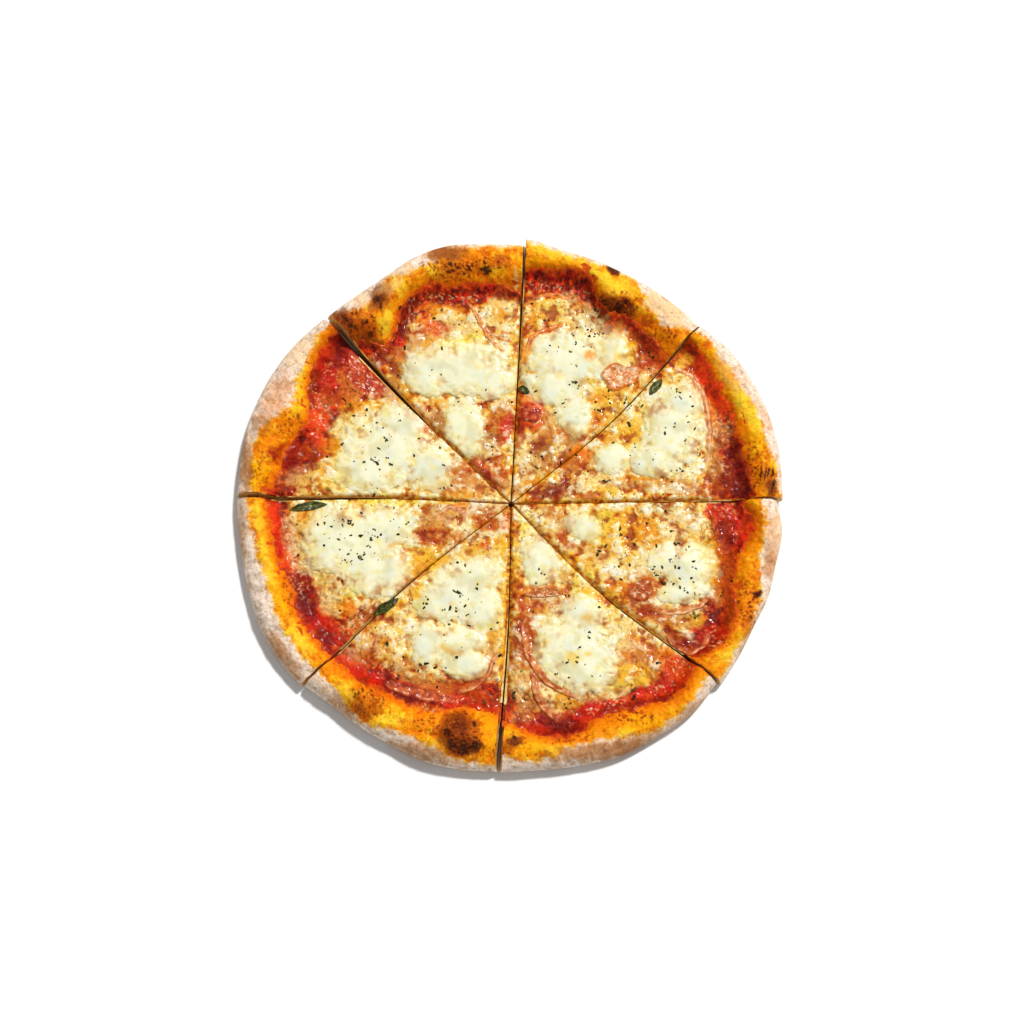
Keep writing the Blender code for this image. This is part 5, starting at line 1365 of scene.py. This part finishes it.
def ribbon(name, k, path, width, height, outer, colour_low, colour_top, nodes):
    """The edge of a ham slice that shows: steep on its outer side, merging into the cheese on the other.
    outer is 1 where the steep side is left of the path, and -1 where it is right of it."""
    path = np.array(path, float)
    chord = np.concatenate([[0], np.cumsum(np.hypot(*np.diff(path, axis=0).T))])
    count = int(chord[-1] / 0.9)
    at = np.linspace(0, 1, count)
    share = chord / chord[-1]
    even = [np.interp(np.linspace(0, 1, 9), share, path[:, i]) for i in range(2)]
    u, v = through(even[0], at), through(even[1], at)
    seed = 500 + int(chord[-1])
    u = u + 1.1 * noise(at * chord[-1], at * 0, 11, seed) + 0.4 * noise(at * chord[-1], at * 0, 4, seed + 8)
    v = v + 1.1 * noise(at * chord[-1], at * 0 + 5, 11, seed + 1) + 0.4 * noise(at * chord[-1], at * 0, 4, seed + 9)
    x, y = unplan(u, v, 9.5)
    dx, dy = np.gradient(x), np.gradient(y)
    length = np.hypot(dx, dy)
    nx, ny = -dy / length * outer, dx / length * outer
    taper = np.clip(np.sin(math.pi * np.clip(0.03 + 0.94 * at, 0, 1)), 0, 1) ** 0.6
    wide = 1.0 * width * (0.45 + 0.55 * taper) * (1 + 0.25 * noise(at * chord[-1], at * 0 + 9, 9, seed + 2))
    tall = 0.58 * height * taper * (1 + 0.30 * noise(at * chord[-1], at * 0 + 13, 8, seed + 3))
    section = 17
    b = Builder()
    rows, flat = [], []
    turns = np.linspace(0, 1, section) ** 1.25
    profiles = []
    for j in turns:
        # j runs from the steep outer side to where the sheet is under cheese
        sx, sy = x + nx * wide * (0.30 - j), y + ny * wide * (0.30 - j)
        flat.append(kept_in(k, sx, sy, 0.4))
        rise = math.sqrt(min(1.0, j / 0.16)) if j < 0.16 else 1.0
        profiles.append(rise * (1 - ease(np.array((j - 0.22) / 0.78)) * 1.0))
    every = np.concatenate([f[0] for f in flat]), np.concatenate([f[1] for f in flat])
    ground = top_height(*every).reshape(section, count)
    mean = ground.mean(0)
    for i, j in enumerate(turns):
        sx, sy = flat[i]
        z = 0.45 * mean + 0.55 * ground[i] - 0.10 + tall * profiles[i] - 0.25 * ease(np.array((j - 0.85) / 0.15)) - (0.35 if i == 0 else 0.0)
        z = z + 0.06 * noise(u * 1.3 + 4 * j, v * 1.3, 3.0, seed + 4) * profiles[i]
        rows.append(b.line(np.stack([sx, sy, z], 1), np.stack([0.02 + 0.96 * at, np.full(count, 0.02 + 0.7 * j)], 1), 0))
    for one, two in zip(rows, rows[1:]):
        b.zip(one, two, outer < 0)
    ends = []
    for row, v0 in ((rows[0], 0.80), (rows[-1], 0.90)):
        pts = np.concatenate(b.points)[row].copy()
        pts[:, 2] -= 0.9
        ends.append(b.line(pts, np.stack([0.02 + 0.96 * at, np.full(count, v0)], 1), 1))
    b.zip(ends[0], rows[0], outer < 0)
    b.zip(rows[-1], ends[1], outer < 0)
    b.zip(ends[1], ends[0], outer < 0)
    points, tris, uvs, kinds = b.arrays()
    px, py, pz = points.T
    pu, pv = plan(px, py, pz)
    side = np.concatenate([np.full(count, j) for j in turns] + [np.zeros(count), np.ones(count)])
    ends_at = np.tile(at, section + 2)
    # The tone is lighter towards the steep side and a pale line runs along the top, both painted highlight; the ember
    # line on the steep outer side is painted shadow.
    tone = ease(0.5 + 0.9 * fbm(pu, pv, 7, 3, seed + 5) + 0.6 * (0.4 - side))
    colours = mixed(np.array(colour_low, float)[None], np.array(colour_top, float)[None], tone)
    colours = mixed(colours, RGB["ember"][None], ease((0.13 - side) / 0.10) * (0.35 + 0.5 * ease((noise(ends_at * chord[-1], side * 0, 9, seed + 11) + 0.2) / 0.5)))
    colours = mixed(colours, np.array([250.0, 226.0, 196.0])[None], ease((0.10 - np.abs(side - 0.24)) / 0.08) * ease((noise(ends_at * chord[-1], side * 3, 6, seed + 6) + 0.15) / 0.3) * 0.65)
    colours = mixed(colours, RGB["rust"][None], ease((noise(pu, pv, 3.6, seed + 7) - 0.30) / 0.25) * 0.40)
    around, _ = field_colour(px, py, pz)
    blend = ease((side - 0.42) / 0.45)
    blend = np.maximum(blend, ease((0.12 - ends_at) / 0.12))
    blend = np.maximum(blend, ease((ends_at - 0.88) / 0.12))
    blend = np.maximum(blend, 0.45 * ease((noise(pu, pv, 8, seed + 12) - 0.18) / 0.3))
    colours = mixed(colours, around, blend)
    piece = new_mesh(name, points, tris, colours, 0.8, uvs)
    return finished(piece, HAM, "ham", *nodes)


ribbon("ham_edge_1a", 0, ((534, 299), (545, 293), (558, 293), (574, 299)), 4.4, 0.8, 1, (198, 84, 20), (236, 142, 50), ["ham_1a"])
ribbon("ham_edge_1b", 0, ((526, 350), (531, 338), (542, 330), (566, 322)), 5.4, 1.0, 1, (200, 88, 22), (238, 146, 58), ["ham_1b"])
ribbon("ham_edge_2a", 1, ((671, 367), (686, 371), (699, 382), (706, 400), (710, 425), (709, 456)), 6.0, 1.0, 1, (186, 100, 44), (232, 170, 116), ["ham_2a"])
ribbon("ham_edge_3a", 2, ((654, 610), (668, 613), (686, 611), (703, 603), (710, 594)), 5.4, 1.0, -1, (182, 92, 38), (230, 164, 108), ["ham_3a"])
ribbon("ham_edge_3b", 2, ((665, 632), (675, 645), (690, 652), (705, 645), (711, 630)), 6.0, 1.4, -1, (156, 52, 18), (216, 112, 54), ["ham_3b"])
ribbon("ham_edge_4a", 3, ((526, 612), (523, 634), (528, 656), (540, 674), (556, 688), (580, 697)), 7.0, 1.3, -1, (170, 72, 24), (222, 138, 72), ["ham_4a"])
ribbon("ham_edge_4b", 3, ((532, 668), (535, 690), (543, 706), (560, 721)), 7.0, 1.2, -1, (166, 66, 22), (220, 134, 72), ["ham_4b"])
ribbon("ham_edge_5a", 4, ((384, 682), (402, 690), (426, 697), (454, 700)), 7.0, 1.3, -1, (152, 44, 14), (216, 104, 36), ["ham_5a"])
ribbon("ham_edge_5b", 4, ((458, 692), (474, 686), (488, 672), (496, 654)), 5.4, 0.9, -1, (172, 78, 30), (222, 138, 76), [])
ribbon("ham_edge_8a", 7, ((468, 298), (476, 314), (487, 334), (504, 354)), 4.2, 0.9, -1, (200, 98, 28), (240, 170, 92), ["ham_8a"])
# The next two ribbons are thin raised folds painted pale along their tops, a painted highlight line on the ham's edge.
ribbon("ham_edge_8b_painted_highlight", 7, ((481, 322), (492, 333), (504, 338), (514, 340)), 3.6, 0.7, 1, (206, 112, 40), (244, 200, 144), [])
ribbon("ham_edge_2b_painted_highlight", 1, ((676, 366), (688, 372), (700, 379)), 2.6, 0.7, 1, (230, 190, 160), (250, 236, 220), [])
ribbon("ham_edge_6a", 5, ((438, 513), (450, 506), (462, 510), (466, 522)), 4.4, 0.7, 1, (196, 108, 52), (232, 176, 124), [])


def flat_ham(name, k, cu, cv, ru, rv, turn, lift, low, high, nodes, fade=0.86):
    """A small flat piece of ham, its edges a little raised."""
    b = Builder()
    seed = 600 + int(cu)
    rings, ids, lines = 16, [], []
    for i in range(rings + 1):
        t = max(1 - i / rings, 0.01)
        count = max(8, int(6.0 * max(ru, rv) * t))
        at = np.linspace(0, 2 * math.pi, count + 1)
        wave = 1 + 0.12 * np.sin(3 * at + seed) + 0.08 * np.sin(5 * at + 2 * seed)
        a, s = ru * t * wave * np.cos(at), rv * t * wave * np.sin(at)
        c, d = math.cos(math.radians(turn)), math.sin(math.radians(turn))
        x, y = unplan(cu + a * c - s * d, cv + a * d + s * c, 9.5)
        x, y = kept_in(k, x, y, 0.4)
        u, v = plan(x, y)
        z = top_height(x, y) + lift * (0.45 + 0.55 * ease((t - 0.45) / 0.45)) * ease((1.005 - t) / 0.06) - 0.25 * ease((t - 0.96) / 0.04)
        z = z + 0.18 * noise(u, v, 4, seed) * ease((1 - t) / 0.2)
        lines.append(t)
        ids.append(b.line(np.stack([x, y, z], 1), np.stack([0.5 + 0.48 * t * np.cos(at), 0.5 + 0.48 * t * np.sin(at)], 1), 0))
    for one, two in zip(ids, ids[1:]):
        b.zip(one, two, True)
    low_points = b.points[0].copy()
    low_points[:, 2] -= 0.8
    below = b.line(low_points, b.uvs[0] * 1.0, 1)
    b.zip(below, ids[0], True)
    centre = b.line(np.repeat(low_points.mean(0)[None], len(low_points) // 4, 0), b.uvs[0][: len(low_points) // 4], 1)
    b.zip(centre, below, True)
    points, tris, uvs, kinds = b.arrays()
    px, py, pz = points.T
    u, v = plan(px, py, pz)
    t_of = np.concatenate([np.full(len(i), t) for i, t in zip(ids, lines)] + [np.ones(len(below) + len(centre))])
    tone = ease(0.55 + 0.7 * fbm(u, v, 7, 3, seed + 5) - 0.5 * ease((t_of - 0.75) / 0.15))
    colours = mixed(np.array(low, float)[None], np.array(high, float)[None], tone)
    bu, bv = u + 1.4 * noise(u, v, 4, seed + 7), v + 1.4 * noise(u, v, 4, seed + 8)
    # Pale spots on the ham: partly specks of cheese, partly painted glints.
    light = ease((noise(bu, bv, 3.0, seed + 9) + 0.4 * noise(bu, bv, 6.5, seed + 10) - 0.20) / 0.25)
    colours = mixed(colours, np.array([252.0, 234.0, 206.0])[None], light * 0.75 * (1 - ease((t_of - 0.78) / 0.12)))
    colours = mixed(colours, RGB["ember"][None], ease((noise(bu, bv, 3.6, seed + 11) - 0.30) / 0.25) * 0.45)
    around, _ = field_colour(px, py, pz)
    colours = mixed(colours, around, ease((t_of - fade) / (0.98 - fade)))
    piece = new_mesh(name, points, tris, colours, 0.85, uvs)
    return finished(piece, HAM, "ham", *nodes)


flat_ham("ham_1c", 0, 621, 375, 21, 13, -6, 0.9, (212, 98, 20), (246, 214, 170), ["ham_1c"])
flat_ham("ham_3c", 2, 643, 589, 14, 12, -20, 0.5, (150, 58, 18), (204, 102, 34), ["ham_3c"], fade=0.62)
flat_ham("ham_4c", 3, 543, 592, 19, 5, -3, 0.6, (170, 82, 26), (212, 130, 62), ["ham_4c"])
flat_ham("ham_7a", 6, 366, 376, 17, 29, -40, 0.5, (156, 30, 14), (216, 84, 36), ["ham_7a"], fade=0.55)


def dome(name, cu, cv, ru, rv, lift, low, high, finish, slot, nodes):
    b = Builder()
    rings, ids = 14, []
    seed = 700 + int(cu)
    for i in range(rings + 1):
        t = max(1 - i / rings, 0.01)
        count = max(8, int(6.0 * max(ru, rv) * t))
        at = np.linspace(0, 2 * math.pi, count + 1)
        wave = 1 + 0.10 * np.sin(2 * at + 1) + 0.07 * np.sin(5 * at + 2)
        x, y = unplan(cu + ru * t * wave * np.cos(at), cv + rv * t * wave * np.sin(at), 9.5)
        x, y = kept_in(0, x, y, 0.4)
        u, v = plan(x, y)
        z = top_height(x, y) - 0.3 + lift * (1 - t**2.5) ** 0.6 + 0.15 * noise(u, v, 3.5, seed)
        ids.append(b.line(np.stack([x, y, z], 1), np.stack([0.5 + 0.48 * t * np.cos(at), 0.5 + 0.48 * t * np.sin(at)], 1), 0))
    for one, two in zip(ids, ids[1:]):
        b.zip(one, two, True)
    low_points = b.points[0].copy()
    low_points[:, 2] -= 0.5
    below = b.line(low_points, b.uvs[0] * 1.0, 1)
    b.zip(below, ids[0], True)
    centre = b.line(np.repeat(low_points.mean(0)[None], len(low_points) // 4, 0), b.uvs[0][: len(low_points) // 4], 1)
    b.zip(centre, below, True)
    points, tris, uvs, kinds = b.arrays()
    u, v = plan(*points.T)
    colours = mixed(np.array(low, float)[None], np.array(high, float)[None], ease(0.5 + 0.9 * fbm(u, v, 6, 3, seed + 1)))
    colours = mixed(colours, RGB["cream"][None], ease((noise(u, v, 2.6, seed + 2) - 0.3) / 0.25) * 0.5)
    return finished(new_mesh(name, points, tris, colours, 0.9, uvs), finish, slot, *nodes)


dome("tomato_1", 531, 412, 10, 11, 2.0, (150, 30, 14), (216, 92, 44), TOMATO, "tomato", ["tomato_1"])


def leaf(name, cu, cv, long, wide, turn, nodes, curl=0.8):
    """A wilted basil leaf: a thin closed blade with a midrib, curled along its length."""
    n, m = 41, 17
    b = Builder()
    at = np.linspace(0, 1, n)
    seed = 800 + int(cu)
    half = wide * np.sin(math.pi * np.clip(at, 0.01, 0.99)) ** 0.7 * (1 + 0.15 * noise(at * 20, at * 0, 5, seed))
    bend = 1.5 * np.sin(at * 3.0 + seed)
    c, s = math.cos(math.radians(turn)), math.sin(math.radians(turn))
    upper, lower = [], []
    for layer_number, store in ((0, upper), (1, lower)):
        for j in np.linspace(-1, 1, m):
            a = (at - 0.5) * 2 * long
            w = half * j + bend
            x, y = unplan(cu + a * c - w * s, cv + a * s + w * c, 9.5)
            base = top_height(x, y)
            z = base + 0.35 + curl * (abs(j) ** 2) * half / wide + 0.35 * np.sin(a * 0.9 + 2 * j) * 0.4 - 0.15 * math.exp(-((j / 0.12) ** 2))
            z = z - (0.28 if layer_number else 0.0)
            z = np.maximum(z, base + (0.02 if layer_number else 0.25))
            store.append(b.line(np.stack([x, y, z], 1), np.stack([0.02 + 0.96 * at, np.full(n, (0.02 if not layer_number else 0.52) + 0.23 * (j + 1))], 1), layer_number))
    for one, two in zip(upper, upper[1:]):
        b.zip(one, two, False)
    for one, two in zip(lower, lower[1:]):
        b.zip(one, two, True)
    b.zip(lower[0], upper[0], False)
    b.zip(upper[-1], lower[-1], False)
    for end in (0, -1):
        one = np.array([line[end] for line in upper])
        two = np.array([line[end] for line in lower])
        b.zip(one, two, end == 0)
    points, tris, uvs, kinds = b.arrays()
    u, v = plan(*points.T)
    cross = np.concatenate([np.full(n, j) for j in np.linspace(-1, 1, m)] * 2)
    length = np.tile(at, 2 * m)
    vein = ease((0.10 - np.abs(cross)) / 0.08) + 0.6 * ease((0.25 - np.abs(np.mod(length * 9 + np.abs(cross) * 1.5, 1) - 0.5)) / 0.2 - 0.7)
    colours = mixed(np.array([44.0, 50.0, 16.0])[None], np.array([96.0, 104.0, 34.0])[None], ease(0.45 + 0.8 * fbm(u, v, 4, 2, seed)))
    colours = mixed(colours, np.array([190.0, 178.0, 84.0])[None], np.clip(vein, 0, 1) * 0.55)
    colours = mixed(colours, np.array([36.0, 24.0, 12.0])[None], ease((noise(u, v, 3.4, seed + 3) - 0.1) / 0.3) * 0.55)
    return finished(new_mesh(name, points, tris, colours, 0.6, uvs), LEAF, "basil", *nodes)


leaf("basil_1", 524, 389, 6, 3.5, 10, ["basil_1"], 0.5)
leaf("basil_2", 656, 386, 10, 4.2, -62, ["basil_2"])
leaf("basil_6a", 386, 606, 15, 4.6, -40, ["basil_6a"])
leaf("basil_6b", 308, 506, 19, 4.2, -3, ["basil_6b"], 0.5)


def herbs():
    """All dried flakes as one joined mesh of small closed chips."""
    rng = np.random.default_rng(7)
    spots = []
    for u, v, s in HERBS:
        if s < 3.6:
            spots.append((u, v, s))
            continue
        for _ in range(3 if s >= 5 else 2):
            spots.append((u + rng.normal(0, 0.32 * s), v + rng.normal(0, 0.32 * s), s * rng.uniform(0.45, 0.70)))
    for u, v, s in HERBS:
        for _ in range(rng.integers(0, 3)):
            spots.append((u + rng.normal(0, 6), v + rng.normal(0, 6), rng.uniform(0.9, 2.0)))
    for _ in range(90):
        a, r = rng.uniform(0, 2 * math.pi), 200 * math.sqrt(rng.uniform(0.02, 1))
        spots.append((511 + r * math.cos(a), 503 + r * math.sin(a) * 0.97, rng.uniform(0.8, 1.7)))
    spots = np.array(spots)
    x0, y0 = unplan(spots[:, 0], spots[:, 1], 10.0)
    z0 = top_height(x0, y0)
    points, tris, colours = [], [], []
    count = 0
    for (x, y, z), (_, _, s) in zip(np.stack([x0, y0, z0], 1), spots):
        n = 7
        size = 0.6 * s * 0.548
        a0 = rng.uniform(0, 2 * math.pi)
        at = np.linspace(0, 2 * math.pi, n, endpoint=False)
        long = rng.uniform(1.0, 1.5)
        r = size * rng.uniform(0.50, 1.25, n)
        lx, ly = r * np.cos(at) * long, r * np.sin(at) / long
        px = x + lx * math.cos(a0) - ly * math.sin(a0)
        py = y + lx * math.sin(a0) + ly * math.cos(a0)
        tilt_x, tilt_y = rng.normal(0, 0.22, 2)
        ground = z + tilt_x * (px - x) + tilt_y * (py - y)
        thick = 0.18 + 0.12 * s * 0.3
        ring_low = np.stack([px, py, ground - 0.15], 1)
        ring_top = np.stack([x + (px - x) * 0.8, y + (py - y) * 0.8, ground + thick], 1)
        top = np.array([[x, y, z + thick + 0.12]])
        bottom = np.array([[x, y, z - 0.2]])
        points.append(np.concatenate([ring_low, ring_top, top, bottom]))
        i = np.arange(n)
        j = (i + 1) % n
        tris.append(count + np.concatenate([
            np.stack([i, j, n + j], 1), np.stack([i, n + j, n + i], 1),
            np.stack([n + i, n + j, np.full(n, 2 * n)], 1), np.stack([j, i, np.full(n, 2 * n + 1)], 1)]))
        shade = rng.uniform(0, 1)
        tone = np.array([30.0, 28.0, 14.0]) * (1 - shade) + np.array([66.0, 66.0, 26.0]) * shade
        if rng.uniform() < 0.12:
            tone = np.array([112.0, 112.0, 44.0])
        colours.append(np.repeat(tone[None], 2 * n + 2, 0) * rng.uniform(0.8, 1.2, (2 * n + 2, 1)))
        count += 2 * n + 2
    piece = new_mesh("herb_flakes", np.concatenate(points), np.concatenate(tris), np.concatenate(colours), 0.3)
    finished(piece, HERB, "basil")


herbs()


# ------------------------------------------------------------------ floor, light, camera

scene = bpy.context.scene
scene.view_settings.view_transform = "Standard"
scene.view_settings.look = "None"

mesh = bpy.data.meshes.new("floor")
mesh.from_pydata([(-4, -4, 0), (4, -4, 0), (4, 4, 0), (-4, 4, 0)], [], [(0, 1, 2, 3)])
floor = bpy.data.objects.new("floor", mesh)
floor.location.z = -0.0002
scene.collection.objects.link(floor)
paint = bpy.data.materials.new("floor")
paint.use_nodes = True
paint.node_tree.nodes["Principled BSDF"].inputs["Roughness"].default_value = 0.9
paint.node_tree.nodes["Principled BSDF"].inputs["Specular IOR Level"].default_value = 0.1
# The floor is painted dark brown under the pizza out to 0.118 m from the origin, turning white by 0.138 m: a painted
# shadow under the pizza and in the gaps between the slices.
spot = paint.node_tree.nodes.new("ShaderNodeTexCoord")
away = paint.node_tree.nodes.new("ShaderNodeVectorMath")
away.operation = "LENGTH"
paint.node_tree.links.new(spot.outputs["Object"], away.inputs[0])
shade = paint.node_tree.nodes.new("ShaderNodeMapRange")
shade.inputs["From Min"].default_value = 0.118
shade.inputs["From Max"].default_value = 0.138
paint.node_tree.links.new(away.outputs["Value"], shade.inputs["Value"])
tone = paint.node_tree.nodes.new("ShaderNodeMix")
tone.data_type = "RGBA"
tone.inputs[6].default_value = (0.16, 0.055, 0.02, 1)
tone.inputs[7].default_value = (0.90, 0.90, 0.90, 1)
paint.node_tree.links.new(shade.outputs["Result"], tone.inputs[0])
paint.node_tree.links.new(tone.outputs[2], paint.node_tree.nodes["Principled BSDF"].inputs["Base Color"])
mesh.materials.append(paint)

world = bpy.data.worlds.new("studio")
scene.world = world
world.use_nodes = True
world.node_tree.nodes["Background"].inputs["Color"].default_value = (0.96, 0.98, 1.0, 1)
world.node_tree.nodes["Background"].inputs["Strength"].default_value = 0.36


def aimed(obj, place, target):
    direction = np.array(target, float) - np.array(place, float)
    obj.location = place
    from mathutils import Vector
    obj.rotation_euler = Vector(direction).to_track_quat("-Z", "Y").to_euler()


key = bpy.data.lights.new("key", "SUN")
key.energy = 3.3
key.angle = math.radians(7)
key.color = (1.0, 0.98, 0.95)
key_object = bpy.data.objects.new("key", key)
scene.collection.objects.link(key_object)
aimed(key_object, (0.50, 0.66, 1.15), (0, 0, 0))

camera = bpy.data.cameras.new("camera")
camera.sensor_width = 36.0
camera.sensor_fit = "HORIZONTAL"
camera.lens = 36.0 * DISTANCE / WIDE
camera.clip_start = 0.05
camera.clip_end = 50
camera_object = bpy.data.objects.new("camera", camera)
scene.collection.objects.link(camera_object)
aimed(camera_object, tuple(EYE), tuple(EYE - BACK))
scene.camera = camera_object
